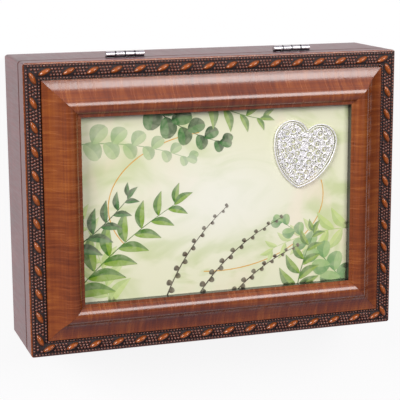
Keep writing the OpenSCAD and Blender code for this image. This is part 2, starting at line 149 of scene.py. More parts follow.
class NodeSheet:
    """The node tree of a material or a world, with short methods that add and join its nodes."""

    def __init__(self, holder: bpy.types.Material | bpy.types.World) -> None:
        """Empties the tree.

        Args:
            holder: The material or world.
        """
        holder.use_nodes = True
        self.tree = holder.node_tree
        self.tree.nodes.clear()

    def add(self, kind: str, *values: object, **settings: object) -> bpy.types.Node:
        """Adds a node.

        Args:
            kind: The node's type name, without what all such names start with.
            values: What its inputs take, in their order.
            settings: Properties to set on it.

        Returns:
            The new node.
        """
        node = self.tree.nodes.new(f"ShaderNode{kind}")
        for key, value in settings.items():
            setattr(node, key, value)
        for socket, value in zip(node.inputs, values):
            self.feed(socket, value)
        return node

    def feed(self, socket: Socket, value: object) -> None:
        """Links a socket to another socket, or sets it to a plain value.

        Args:
            socket: The socket to feed.
            value: The other socket, a number, a vector or a colour.
        """
        if isinstance(value, bpy.types.NodeSocket):
            self.tree.links.new(value, socket)
        elif socket.type == "RGBA":
            socket.default_value = (*value, 1.0)
        else:
            socket.default_value = value

    def place(self) -> Socket:
        """Gives the piece's own coordinates, in metres."""
        return self.add("TexCoord").outputs["Object"]

    def axis(self, name: str) -> Socket:
        """Gives one of the piece's own coordinates, in metres."""
        return self.add("SeparateXYZ", self.place()).outputs[name]

    def stretched(self, factors: Triple) -> Socket:
        """Gives the piece's own coordinates times a factor along each axis."""
        return self.add("VectorMath", self.place(), factors, operation="MULTIPLY").outputs[0]

    def length(self, vector: Socket) -> Socket:
        """Gives the length of a vector."""
        return self.add("VectorMath", vector, operation="LENGTH").outputs["Value"]

    def tint(self) -> bpy.types.bpy_prop_collection:
        """Gives the colour and cover at each point of the mesh, as the outputs Color and Alpha."""
        return self.add("Attribute", attribute_name=TINT).outputs

    def math(self, operation: str, *values: object) -> Socket:
        """Gives the result of an operation on up to three values."""
        return self.add("Math", *values, operation=operation).outputs[0]

    def noise(self, per_metre: float | Triple, detail: float = 2.0, warp: float = 0.0) -> Socket:
        """Adds noise in the piece's own coordinates.

        Args:
            per_metre: Grains per metre, along all axes or along each.
            detail: Octaves of finer noise.
            warp: Distortion of the grains.

        Returns:
            The noise as a value from 0 to 1.
        """
        factors = per_metre if isinstance(per_metre, tuple) else (per_metre, per_metre, per_metre)
        node = self.add("TexNoise", self.stretched(factors))
        for name, value in (("Scale", 1.0), ("Detail", detail), ("Distortion", warp)):
            self.feed(node.inputs[name], value)
        return node.outputs[0]

    def sum_of(self, terms: Iterable[tuple[Socket, float]]) -> Socket:
        """Adds weighted values together.

        Args:
            terms: Each value with its weight.

        Returns:
            The sum.
        """
        total: object = 0.0
        for value, weight in terms:
            total = self.math("MULTIPLY_ADD", value, weight, total)
        return total

    def span(self, value: Socket, source: Pair, target: Pair = (0.0, 1.0)) -> Socket:
        """Maps a value smoothly from one range to another, and holds it within the second."""
        return self.add("MapRange", value, *source, *target, interpolation_type="SMOOTHSTEP").outputs[0]

    def blend(self, share: Socket, first: object, second: object) -> Socket:
        """Gives the first value where the share is 0, and the second where it is 1."""
        return self.add("MapRange", share, 0.0, 1.0, first, second).outputs[0]

    def near(self, value: Socket, place: float, reach: Pair) -> Socket:
        """Gives 1 up to the first distance from a place on a coordinate, and 0 from the second on."""
        away = self.math("ABSOLUTE", self.math("SUBTRACT", value, place))
        return self.span(away, reach, (1.0, 0.0))

    def ramp(self, value: Socket, stops: Sequence[tuple[float, Colour]]) -> Socket:
        """Turns a value into a colour.

        Args:
            value: A value from 0 to 1.
            stops: Places on the ramp with their colours.

        Returns:
            The colour.
        """
        node = self.add("ValToRGB", value)
        elements = node.color_ramp.elements
        while len(elements) < len(stops):
            elements.new(1.0)
        for element, (stop, colour) in zip(elements, stops):
            element.position = stop
            element.color = (*colour, 1.0)
        return node.outputs["Color"]

    def mix(self, share: Socket, first: object, second: object) -> Socket:
        """Mixes two colours.

        Args:
            share: Share of the second colour.
            first: The first colour.
            second: The second colour.

        Returns:
            The mixed colour.
        """
        node = self.add("Mix", data_type="RGBA", clamp_result=True)
        colours = [socket for socket in node.inputs if socket.type == "RGBA"]
        for socket, part in zip((node.inputs["Factor"], *colours), (share, first, second)):
            self.feed(socket, part)
        return next(socket for socket in node.outputs if socket.type == "RGBA")

    def bump(self, height: Socket, depth: float, base: Socket | None = None, sunk: bool = False) -> Socket:
        """Raises or sinks normals by a height.

        Args:
            height: The height as a value from 0 to 1.
            depth: What a height of 1 stands for, in metres.
            base: The normals to start from, where they aren't the surface's own.
            sunk: Whether the height goes down into the surface.

        Returns:
            The normals.
        """
        node = self.add("Bump", invert=sunk)
        self.feed(node.inputs["Distance"], depth)
        self.feed(node.inputs["Height"], height)
        if base is not None:
            self.feed(node.inputs["Normal"], base)
        return node.outputs["Normal"]


@dataclass(frozen=True)
class Finish:
    """A finish that a piece or a solid can be dressed in."""

    name: str

    def material(self) -> bpy.types.Material:
        """Makes the material.

        Returns:
            A new material with the finish's principled surface.
        """
        made = bpy.data.materials.new(self.name)
        sheet = NodeSheet(made)
        shader = sheet.add("BsdfPrincipled")
        for socket, value in self.surface(sheet).items():
            sheet.feed(shader.inputs[socket], value)
        sheet.add("OutputMaterial", shader.outputs[0])
        return made

    def surface(self, sheet: NodeSheet) -> dict[str, object]:
        """Gives what the sockets of the surface take, each a plain value or a socket on the sheet."""
        raise NotImplementedError


@dataclass(frozen=True)
class WoodTones:
    """The dark, middle and light tones of a stained wood, and where they stand in its figure."""

    dark: Colour
    mid: Colour
    light: Colour
    stops: Triple = (0.38, 0.57, 0.76)

    def ramp(self, sheet: NodeSheet, figure: Socket) -> Socket:
        """Colours a figure with these tones."""
        return sheet.ramp(figure, list(zip(self.stops, (self.dark, self.mid, self.light))))


BOX_TONES = WoodTones((0.050, 0.008, 0.011), (0.098, 0.017, 0.023), (0.148, 0.031, 0.037))
FRAME_TONES = WoodTones((0.084, 0.014, 0.0025), (0.195, 0.041, 0.0055), (0.330, 0.092, 0.012))


class Figure(Enum):
    """Layers of the wood's figure: grains per metre along and across the stick, detail, warp and weight."""

    CROSS = (900, 70, 3.0, 0.3, 0.34)
    BARS = (260, 34, 2.0, 0.5, 0.26)
    LINES = (14, 900, 2.0, 0.0, 0.22)
    CLOUDS = (22, 46, 2.0, 0.6, 0.32)

    @property
    def weight(self) -> float:
        """The layer's share of the whole figure."""
        return self.value[-1]

    def noise(self, sheet: NodeSheet, grain: Grain) -> Socket:
        """Adds the layer's noise for sticks of that grain."""
        along, across, detail, warp, _ = self.value
        return sheet.noise(grain.per_metre(along, across), detail, warp)


@dataclass(frozen=True)
class Lacquer(Finish):
    """Figured wood under a lacquer, dull and sunk in the groove where box and lid meet, with dark glaze there
    that is also painted shade.
    """

    grain: Grain
    tones: WoodTones
    specular: float
    satin: float
    seam_z: float
    unevenness: float = 0.03
    figure_depth: float = 0.02 * MM
    # Dark glaze in the seam groove, which also stands for the groove's painted shade
    seam_glaze_and_shade: Colour = (0.100, 0.022, 0.012)
    seam_reach: Pair = (0.70 * MM, 1.35 * MM)
    seam_depth: float = 1.00 * MM

    def surface(self, sheet: NodeSheet) -> dict[str, object]:
        """Gives the lacquered surface.

        Args:
            sheet: Where to add its nodes.

        Returns:
            What each socket takes.
        """
        layers = {layer: layer.noise(sheet, self.grain) for layer in Figure}
        figure = sheet.sum_of((noise, layer.weight) for layer, noise in layers.items())
        groove = sheet.near(sheet.axis("Z"), self.seam_z, self.seam_reach)
        relief = sheet.bump(figure, self.figure_depth)
        return {
            # The seam is painted dark: glaze and painted shade together
            "Base Color": sheet.mix(groove, self.stained(sheet, figure), self.seam_glaze_and_shade),
            "Roughness": sheet.blend(groove, self.sheen(sheet, layers[Figure.CROSS]), 1.0),
            "Specular IOR Level": self.specular,
            "Normal": sheet.bump(groove, self.seam_depth, relief, sunk=True),
        }

    def sheen(self, sheet: NodeSheet, figure: Socket) -> Socket:
        """Gives the roughness, a little uneven over the figure."""
        return sheet.span(figure, NOISE_RANGE, (self.satin - self.unevenness, self.satin + self.unevenness))

    def stained(self, sheet: NodeSheet, figure: Socket) -> Socket:
        """Gives the wood's colour."""
        return self.tones.ramp(sheet, figure)


@dataclass(frozen=True, kw_only=True)
class FrameLacquer(Lacquer):
    """Lacquer on a rail of the lid, with the box's stain on its outer face and near-black painted shade on
    its sight edge.
    """

    outer_half: Pair
    outer_top: float
    sight_half: Pair
    outer_tones: WoodTones = BOX_TONES
    outer_satin: float = 0.40
    corner_ease: float = 0.56 * MM
    stain_edge: float = 0.04 * MM
    # Near-black painted shade on the sight edge, under the lip
    sight_painted_shade: Colour = (0.012, 0.009, 0.009)
    sight_edge: Pair = (0.01 * MM, 0.05 * MM)

    def stained(self, sheet: NodeSheet, figure: Socket) -> Socket:
        """Gives the wood's colour, with the box's stain on the outer face and painted shade on the sight
        edge.

        Args:
            sheet: Where to add the nodes.
            figure: The wood's figure.

        Returns:
            The colour.
        """
        moulding = self.tones.ramp(sheet, figure)
        outside = self.outer_tones.ramp(sheet, figure)
        tone = sheet.mix(self.outer_face(sheet), moulding, outside)
        # Painted shade on the sight edge
        return sheet.mix(self.beyond(sheet, self.sight_half, *self.sight_edge), self.sight_painted_shade, tone)

    def sheen(self, sheet: NodeSheet, figure: Socket) -> Socket:
        """Gives the roughness: polished on the moulding and satin on the outer face."""
        return sheet.blend(self.outer_face(sheet), super().sheen(sheet, figure), self.outer_satin)

    def outer_face(self, sheet: NodeSheet) -> Socket:
        """Finds the rail's outer face with its eased upright corners.

        Args:
            sheet: Where to add the nodes.

        Returns:
            1 on the outer face, and 0 on the moulding.
        """
        outside = self.beyond(sheet, self.outer_half, -self.corner_ease - self.stain_edge, -self.corner_ease)
        lower = sheet.span(sheet.axis("Z"), (self.outer_top - self.stain_edge, self.outer_top), (1.0, 0.0))
        return sheet.math("MULTIPLY", lower, outside)

    @staticmethod
    def beyond(sheet: NodeSheet, half: Pair, start: float, end: float) -> Socket:
        """Tells the outside of a rectangle about the middle of the box from its inside.

        Args:
            sheet: Where to add the nodes.
            half: Half the width and half the depth of the rectangle.
            start: Distance beyond the rectangle where the value leaves 0.
            end: Distance beyond the rectangle where the value reaches 1.

        Returns:
            1 outside the rectangle, and 0 inside it.
        """
        shares = []
        for axis, reach in zip("XY", half):
            away = sheet.math("ABSOLUTE", sheet.axis(axis))
            shares.append(sheet.span(away, (reach + start, reach + end)))
        return sheet.math("MAXIMUM", *shares)


@dataclass(frozen=True)
class RopeGlaze(Finish):
    """Carved ornament with a dull dark glaze in its hollows and polished wood on its crowns."""

    # Grime only, in random patches over the glaze; no shade is painted here
    grime_and_painted_shade: Colour = (0.03, 0.010, 0.004)
    grime_and_painted_shade_share: float = 0.45
    dull: float = 0.70
    polished: float = 0.14

    def surface(self, sheet: NodeSheet) -> dict[str, object]:
        """Gives the glazed surface.

        Args:
            sheet: Where to add its nodes.

        Returns:
            What each socket takes.
        """
        tint = sheet.tint()
        mottle = sheet.noise(per_metre=700, detail=3.0)
        grimy = sheet.span(mottle, NOISE_RANGE, (0.0, self.grime_and_painted_shade_share))
        return {
            "Base Color": sheet.mix(grimy, tint["Color"], self.grime_and_painted_shade),
            "Roughness": sheet.span(tint["Alpha"], (0.0, 1.0), (self.dull, self.polished)),
            "Specular IOR Level": 0.65,
            "Normal": sheet.bump(mottle, depth=0.03 * MM),
        }


@dataclass(frozen=True)
class Velvet(Finish):
    """Short pile that is pale where it is seen edge on."""

    shade: Colour
    crushed: Colour
    rim: Colour
    depth_share: float = 0.35

    def surface(self, sheet: NodeSheet) -> dict[str, object]:
        """Gives the velvet's surface: pile that stands and lies in patches.

        Args:
            sheet: Where to add its nodes.

        Returns:
            What each socket takes.
        """
        pile = sheet.noise(per_metre=2600)
        nap = sheet.noise(per_metre=60, detail=3.0, warp=1.2)
        tone = sheet.mix(sheet.span(nap, source=(0.35, 0.68)), self.shade, self.crushed)
        return {
            "Base Color": sheet.mix(sheet.span(pile, NOISE_RANGE, (0.0, self.depth_share)), tone, BLACK),
            "Roughness": 0.9,
            "Specular IOR Level": 0.15,
            "Sheen Weight": 0.9,
            "Sheen Roughness": 0.35,
            "Sheen Tint": self.rim,
            "Normal": sheet.bump(pile, depth=0.12 * MM),
        }


@dataclass(frozen=True)
class Fibre(Finish):
    """Matted fibres, as in felt, card and hardboard."""

    dark: Colour
    light: Colour
    per_metre: float
    relief: float
    roughness: float

    def surface(self, sheet: NodeSheet) -> dict[str, object]:
        """Gives the fibrous surface: fine fibres with longer strands among them.

        Args:
            sheet: Where to add its nodes.

        Returns:
            What each socket takes.
        """
        fine = sheet.noise(self.per_metre, detail=3.0, warp=1.5)
        strands = sheet.noise((self.per_metre / 6, self.per_metre, self.per_metre / 2), warp=3.0)
        figure = sheet.sum_of([(fine, 0.6), (strands, 0.4)])
        return {
            "Base Color": sheet.ramp(figure, [(0.35, self.dark), (0.66, self.light)]),
            "Roughness": self.roughness,
            "Specular IOR Level": 0.2,
            "Normal": sheet.bump(figure, self.relief),
        }


@dataclass(frozen=True)
class Metal(Finish):
    """Plated or drawn metal with fine rubbing marks and dulled patches."""

    bright: Colour
    dull: Colour
    smooth: float
    rough: float
    marks: Triple

    def surface(self, sheet: NodeSheet) -> dict[str, object]:
        """Gives the worn metal's surface.

        Args:
            sheet: Where to add its nodes.

        Returns:
            What each socket takes.
        """
        marks = sheet.noise(self.marks)
        patches = sheet.noise(per_metre=300, detail=3.0, warp=0.8)
        wear = sheet.sum_of([(marks, 0.5), (patches, 0.5)])
        plain = sheet.mix(sheet.span(wear, source=(0.4, 0.65)), self.bright, self.dull)
        return {
            "Base Color": self.with_painted_shade(sheet, plain),
            "Metallic": 1.0,
            "Roughness": sheet.span(wear, source=(0.35, 0.65), target=(self.smooth, self.rough)),
            "Normal": sheet.bump(marks, depth=0.01 * MM),
        }

    def with_painted_shade(self, sheet: NodeSheet, plain: Socket) -> Socket:
        """Gives the colour with any painted shade laid over a plain one: here, none."""
        return plain


@dataclass(frozen=True, kw_only=True)
class HingePlating(Metal):
    """Plating with painted shade between a hinge's knuckles and on the side of its barrel next to the wood.
    """

    barrel: Vector
    radius: float
    knuckle: float
    # Colour of the painted shade in the knuckle gaps and beside the wood
    grime_and_painted_shade: Colour = (0.030, 0.028, 0.032)
    gap_shade_reach: Pair = (0.26 * MM, 0.46 * MM)
    shaded_to: Pair = (-0.58, -0.40)
    barrel_reach: Pair = (1.10, 1.25)

    def with_painted_shade(self, sheet: NodeSheet, plain: Socket) -> Socket:
        """Gives the plating's colour, with painted shade in the gaps and beside the wood, and plain off the
        barrel.

        Args:
            sheet: Where to add the nodes.
            plain: The colour of the bright plating.

        Returns:
            The colour.
        """
        along = sheet.math("ABSOLUTE", sheet.axis("X"))
        away = sheet.math("DIVIDE", sheet.math("SUBTRACT", sheet.axis("Y"), self.barrel.y), self.radius)
        # Painted shade on the side of the barrel next to the wood
        tone = sheet.mix(sheet.span(away, self.shaded_to), self.grime_and_painted_shade, plain)
        # Painted shade in the gaps between the knuckles
        for step in (-1, 0, 1):
            gap = sheet.near(along, self.barrel.x + step * self.knuckle, self.gap_shade_reach)
            tone = sheet.mix(gap, tone, self.grime_and_painted_shade)
        return sheet.mix(sheet.near(away, 0.0, self.barrel_reach), plain, tone)


@dataclass(frozen=True)
class Silver(Finish):
    """White silver wire with a frosted grain."""

    bright: Colour
    dull: Colour

    def surface(self, sheet: NodeSheet) -> dict[str, object]:
        """Gives the frosted surface.

        Args:
            sheet: Where to add its nodes.

        Returns:
            What each socket takes.
        """
        frost = sheet.noise(per_metre=1800, detail=3.0)
        patches = sheet.noise(per_metre=260)
        wear = sheet.sum_of([(frost, 0.6), (patches, 0.4)])
        return {
            "Base Color": sheet.mix(sheet.span(wear, source=(0.4, 0.65)), self.bright, self.dull),
            "Metallic": 0.35,
            "Roughness": sheet.span(wear, source=(0.35, 0.65), target=(0.38, 0.52)),
            "Normal": sheet.bump(frost, depth=0.05 * MM),
        }


@dataclass(frozen=True)
class PrintedPaper(Finish):
    """Watercolour paper: pale washes, a glow in the middle and translucent inks."""

    paper: Colour
    sage: Colour
    blush: Colour
    glow: Colour
    glow_reach: float
    glow_share: float = 0.8
    glow_shape: Triple = (0.7, 1.2, 0.0)
    blush_share: float = 0.7
    ink_cover: Pair = (0.84, 1.08)

    def surface(self, sheet: NodeSheet) -> dict[str, object]:
        """Gives the printed surface.

        Args:
            sheet: Where to add its nodes.

        Returns:
            What each socket takes.
        """
        pools = sheet.noise(per_metre=(26, 40, 1), detail=3.0, warp=1.4)
        drifts = sheet.noise(per_metre=(34, 18, 1), warp=1.0)
        tooth = sheet.noise(per_metre=2200)
        bleed = sheet.noise(per_metre=(240, 240, 1), detail=3.0, warp=0.8)
        middle = sheet.length(sheet.stretched(self.glow_shape))
        ink = sheet.tint()
        wash = sheet.mix(sheet.span(pools, source=(0.42, 0.66)), self.paper, self.sage)
        wash = sheet.mix(sheet.span(drifts, (0.52, 0.74), (0.0, self.blush_share)), wash, self.blush)
        wash = sheet.mix(sheet.span(middle, (0.0, self.glow_reach), (self.glow_share, 0.0)), wash, self.glow)
        cover = sheet.math("MULTIPLY", ink["Alpha"], sheet.span(bleed, NOISE_RANGE, self.ink_cover))
        return {
            "Base Color": sheet.mix(cover, wash, ink["Color"]),
            "Roughness": sheet.span(tooth, NOISE_RANGE, (0.50, 0.60)),
            "Specular IOR Level": 0.3,
            "Normal": sheet.bump(tooth, depth=0.01 * MM),
        }


@dataclass(frozen=True)
class StudioFloor(Finish):
    """White sweep that takes a soft shadow and shows white in the picture and in reflections."""

    shade: float
    glow_share: float
    fade: Pair

    def material(self) -> bpy.types.Material:
        """Makes the material.

        Returns:
            The material, clear from below so that the underside can be seen, and fading at its outer end.
        """
        made = bpy.data.materials.new(self.name)
        sheet = NodeSheet(made)
        rays = sheet.add("LightPath").outputs
        seen: object = 0.0
        for ray in ("Is Camera Ray", "Is Glossy Ray", "Is Transmission Ray"):
            seen = sheet.math("MAXIMUM", rays[ray], seen)
        paper = sheet.add("BsdfDiffuse", (self.shade, self.shade, self.shade)).outputs[0]
        white = sheet.add("Emission", WHITE, 1.0).outputs[0]
        glowing = sheet.math("MULTIPLY", seen, self.glow_share)
        top = sheet.add("MixShader", glowing, paper, white).outputs[0]
        below = sheet.add("NewGeometry").outputs["Backfacing"]
        gone = sheet.math("MAXIMUM", below, sheet.span(sheet.length(sheet.place()), self.fade))
        clear = sheet.add("BsdfTransparent").outputs[0]
        sheet.add("OutputMaterial", sheet.add("MixShader", gone, top, clear).outputs[0])
        return made


def put(name: str, data: bpy.types.ID) -> bpy.types.Object:
    """Puts an object into the scene.

    Args:
        name: The object's name.
        data: Its mesh, lamp or camera.

    Returns:
        The object.
    """
    made = bpy.data.objects.new(name, data)
    bpy.context.scene.collection.objects.link(made)
    return made


class Form:
    """Closed shells gathered into one mesh, with a colour and cover at each point."""

    def __init__(self) -> None:
        """Starts with nothing in the mesh."""
        self.points: list[np.ndarray] = []
        self.tints: list[np.ndarray] = []
        self.faces: list[Face] = []
        self.count = 0

    @classmethod
    def of(cls, points: np.ndarray, faces: Iterable[Face]) -> "Form":
        """Starts with one bare shell.

        Args:
            points: Its points, one row each.
            faces: Its faces, as places in that list.

        Returns:
            The form.
        """
        form = cls()
        form.add((points, faces))
        return form

    def add(self, shell: Shell, tint: np.ndarray = BARE) -> None:
        """Adds a shell.

        Args:
            shell: Its points, one row each, and its faces, as places in that list.
            tint: Colour and cover, one row for each point or one row for all.
        """
        points, faces = shell
        self.points.append(points)
        self.tints.append(np.broadcast_to(tint, (len(points), len(BARE))))
        self.faces.extend(tuple(i + self.count for i in face) for face in faces)
        self.count += len(points)

    def add_copies(self, shell: Shell, places: Iterable[np.ndarray], tint: np.ndarray = BARE) -> None:
        """Adds one shell at each of several places.

        Args:
            shell: The shell, drawn about the origin.
            places: Where it goes.
            tint: Colour and cover, one row for each point or one row for all.
        """
        points, faces = shell
        for place in places:
            self.add((points + place, faces), tint)

    def piece(self, name: str, material: bpy.types.Material, crease: float = 40.0) -> bpy.types.Object:
        """Makes an object from the shells.

        Args:
            name: The object's name.
            material: Its material.
            crease: Angle in degrees over which an edge stays sharp.

        Returns:
            The object, with its faces turned outwards.
        """
        mesh = bpy.data.meshes.new(name)
        mesh.from_pydata(np.concatenate(self.points).tolist(), [], self.faces)
        layer = mesh.attributes.new(TINT, "FLOAT_COLOR", "POINT")
        layer.data.foreach_set("color", np.concatenate(self.tints).astype(np.float32).ravel())
        work = bmesh.new()
        work.from_mesh(mesh)
        bmesh.ops.recalc_face_normals(work, faces=work.faces)
        work.to_mesh(mesh)
        work.free()
        mesh.shade_smooth()
        mesh.set_sharp_from_angle(angle=math.radians(crease))
        mesh.materials.append(material)
        return put(name, mesh)


class Ends(Enum):
    """Ways to end a row of rings that are joined into a shell."""

    CAPPED = "a face closes each end"
    JOINED = "the last ring joins the first"
    POINTED = "the first and last ring are drawn in to a line, and need no face"


def tint_of(colour: Colour, cover: float = 1.0) -> np.ndarray:
    """Gives a colour and cover as one row."""
    return np.array([*colour, cover])


def centred(count: int, pitch: float) -> np.ndarray:
    """Gives evenly spaced places about 0."""
    return (np.arange(count) - (count - 1) / 2) * pitch


def grid_faces(rows: int, columns: int, wrap: bool = False) -> list[Face]:
    """Lists the quads of a grid of points.

    Args:
        rows: Rows of points.
        columns: Points in a row.
        wrap: Whether each row closes on itself.

    Returns:
        The quads.
    """
    span = columns if wrap else columns - 1
    return [(r * columns + c, r * columns + (c + 1) % columns,
             (r + 1) * columns + (c + 1) % columns, (r + 1) * columns + c)
            for r in range(rows - 1) for c in range(span)]


def loft(rings: np.ndarray, ends: Ends = Ends.CAPPED) -> Shell:
    """Joins rings of points into a shell.

    Args:
        rings: The rings, each with as many points as the others.
        ends: How the shell ends.

    Returns:
        Its points and faces.
    """
    count, size, _ = rings.shape
    faces = grid_faces(count, size, wrap=True)
    last = (count - 1) * size
    if ends is Ends.CAPPED:
        faces += [tuple(reversed(range(size))), tuple(range(last, last + size))]
    elif ends is Ends.JOINED:
        faces += [(last + i, last + (i + 1) % size, (i + 1) % size, i) for i in range(size)]
    return rings.reshape(-1, 3), faces


def dome(radius: float, sink: float, segments: int, rings: int) -> Shell:
    """Draws a bead that stands on z = 0 and is sunk a little below it.

    Args:
        radius: Radius and height of the bead.
        sink: Depth of its foot.
        segments: Points in a ring.
        rings: Rings from where it stands to its crown.

    Returns:
        Its points and faces.
    """
    turns = np.linspace(0, 2 * math.pi, segments, endpoint=False)
    circle = np.column_stack([np.cos(turns), np.sin(turns)])
    rows = [np.column_stack([circle * radius, np.full(segments, -sink)])]
    for rise in np.linspace(0, math.pi / 2, rings, endpoint=False):
        height = np.full(segments, radius * math.sin(rise))
        rows.append(np.column_stack([circle * radius * math.cos(rise), height]))
    points = np.vstack([*rows, [[0, 0, radius]]])
    faces = grid_faces(len(rows), segments, wrap=True)
    top = len(points) - 1
    last = top - segments
    faces += [(last + i, last + (i + 1) % segments, top) for i in range(segments)]
    faces.append(tuple(reversed(range(segments))))
    return points, faces


def wire(path: np.ndarray, radius: float, sides: int, ends: Ends = Ends.CAPPED) -> Shell:
    """Draws a round wire along a level path.

    Args:
        path: The path's points, all near one height.
        radius: Radius of the wire.
        sides: Points round the wire.
        ends: How the wire ends.

    Returns:
        Its points and faces.
    """
    if ends is Ends.JOINED:
        ahead = np.roll(path, -1, axis=0) - np.roll(path, 1, axis=0)
    else:
        ahead = np.gradient(path, axis=0)
    ahead /= np.linalg.norm(ahead, axis=1, keepdims=True)
    across = np.column_stack([-ahead[:, 1], ahead[:, 0], np.zeros(len(path))])
    across /= np.linalg.norm(across, axis=1, keepdims=True)
    turns = np.linspace(0, 2 * math.pi, sides, endpoint=False)
    up = np.array([0, 0, 1.0])
    rings = (path[:, None, :] + radius * np.cos(turns)[None, :, None] * across[:, None, :]
             + radius * np.sin(turns)[None, :, None] * up)
    return loft(rings, ends)


@dataclass(frozen=True)
class SoftSlab:
    """A covered board or pad with rolled edges, drawn flat about its middle with its back on z = 0."""

    width: float
    depth: float
    height: float
    roll: float
    cells: int
    crown: float = 0.0
    pull: float = 0.0
    pucker: float = 0.0
    edge_rows: int = 6
    seam_share: float = 0.4
    fold_rate: float = 420.0
    pull_power: int = 4
    fold_power: int = 8

    def stations(self, length: float) -> np.ndarray:
        """Spaces points over a length, closer together where the edges roll over.

        Args:
            length: The length.

        Returns:
            The points, about the middle.
        """
        edge = self.roll * (1 - np.cos(np.linspace(0, math.pi / 2, self.edge_rows)))
        inner = np.linspace(self.roll, length - self.roll, self.cells)[1:-1]
        return np.concatenate([edge, inner, (length - edge)[::-1]]) - length / 2

    def shell(self) -> Shell:
        """Draws the slab.

        Returns:
            Its points and faces, with the front and the back joined along the edge.
        """
        x, y = np.meshgrid(self.stations(self.width), self.stations(self.depth))
        out_x = np.clip(1 - (self.width / 2 - np.abs(x)) / self.roll, 0, 1)
        out_y = np.clip(1 - (self.depth / 2 - np.abs(y)) / self.roll, 0, 1)
        reach = np.maximum(out_x, out_y)
        length = np.maximum(np.hypot(out_x, out_y), 1e-9)
        shrink = np.where(reach > 0, reach / length, 1.0)
        flat_x = np.sign(x) * (np.abs(x) - self.roll * out_x * (1 - shrink))
        flat_y = np.sign(y) * (np.abs(y) - self.roll * out_y * (1 - shrink))
        along_x, along_y = 2 * flat_x / self.width, 2 * flat_y / self.depth
        flat_x = flat_x * (1 - self.pull / self.width * along_x ** self.pull_power * (1 - along_y ** 2))
        flat_y = flat_y * (1 - self.pull / self.depth * along_y ** self.pull_power * (1 - along_x ** 2))
        rise = np.sqrt(np.clip(1 - reach ** 2, 0, 1))
        seam = self.height * self.seam_share
        swell = self.crown * (1 - along_x ** 2) * (1 - along_y ** 2)
        folds = (np.sin(flat_x * self.fold_rate) * along_y ** self.fold_power
                 + np.sin(flat_y * self.fold_rate) * along_x ** self.fold_power)
        front = seam + rise * (self.height - self.crown - seam + swell - self.pucker * folds ** 2)
        back = seam * (1 - rise)
        return self.sewn(np.dstack([flat_x, flat_y, front]), np.dstack([flat_x, flat_y, back]))

    @staticmethod
    def sewn(front: np.ndarray, back: np.ndarray) -> Shell:
        """Joins two grids of points along their edge, which they share.

        Args:
            front: The front's points.
            back: The back's points.

        Returns:
            The points and faces of both.
        """
        rows, columns, _ = front.shape
        count = rows * columns
        names = np.arange(count).reshape(rows, columns)
        names[1:-1, 1:-1] = np.arange((rows - 2) * (columns - 2)).reshape(rows - 2, columns - 2) + count
        names = names.ravel().tolist()
        faces = grid_faces(rows, columns)
        faces += [tuple(names[i] for i in reversed(face)) for face in faces]
        return np.vstack([front.reshape(-1, 3), back[1:-1, 1:-1].reshape(-1, 3)]), faces


def dress(nodes: Iterable[str], material: bpy.types.Material) -> None:
    """Gives solids of the frame a finish.

    Args:
        nodes: The solids' names.
        material: The finish.
    """
    for node in nodes:
        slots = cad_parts[node].data.materials
        slots.clear()
        slots.append(material)
        LOG.info("%s keeps its solid, in %s", node, material.name)


def settle(piece: bpy.types.Object, body: str, slot: str, *nodes: str) -> bpy.types.Object:
    """Puts a piece on its body in place of the solids that it stands for.

    Args:
        piece: The piece.
        body: The body that it rides on.
        slot: Name of a material slot for its finish; not used.
        nodes: The solids that it stands for.

    Returns:
        The piece.
    """
    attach(piece, body)
    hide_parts(*nodes)
    LOG.info("%s rides on %s for %s", piece.name, body, ", ".join(nodes))
    return piece


def stand(place: Triple, back: Vector, up: Vector) -> Matrix:
    """Places a camera or a lamp.

    Args:
        place: Where it stands.
        back: The direction that it faces away from.
        up: The direction that its top points to.

    Returns:
        Its matrix.
    """
    right = up.cross(back).normalized()
    turn = Matrix((right, back.cross(right).normalized(), back.normalized())).transposed()
    return Matrix.Translation(place) @ turn.to_4x4()


@dataclass(frozen=True)
class SoftLight:
    """A large soft lamp that faces the box, with its width along the box's."""

    name: str
    place: Triple
    size: Pair
    power: float

    def switch_on(self, aim: Vector) -> None:
        """Makes the lamp and turns it to a point.

        Args:
            aim: The point.
        """
        lamp = bpy.data.lights.new(self.name, "AREA")
        lamp.shape = "RECTANGLE"
        lamp.size, lamp.size_y = self.size
        lamp.energy = self.power
        holder = put(self.name, lamp)
        back = Vector(self.place) - aim
        holder.matrix_world = stand(self.place, back, back.cross(Vector((1, 0, 0))))
        holder.visible_camera = False


@dataclass(frozen=True)
class SkyTone:
    """A tone that the surroundings take on between two places on an axis of a sphere of radius 1."""

    axis: str
    start: float
    end: float
    tone: Colour


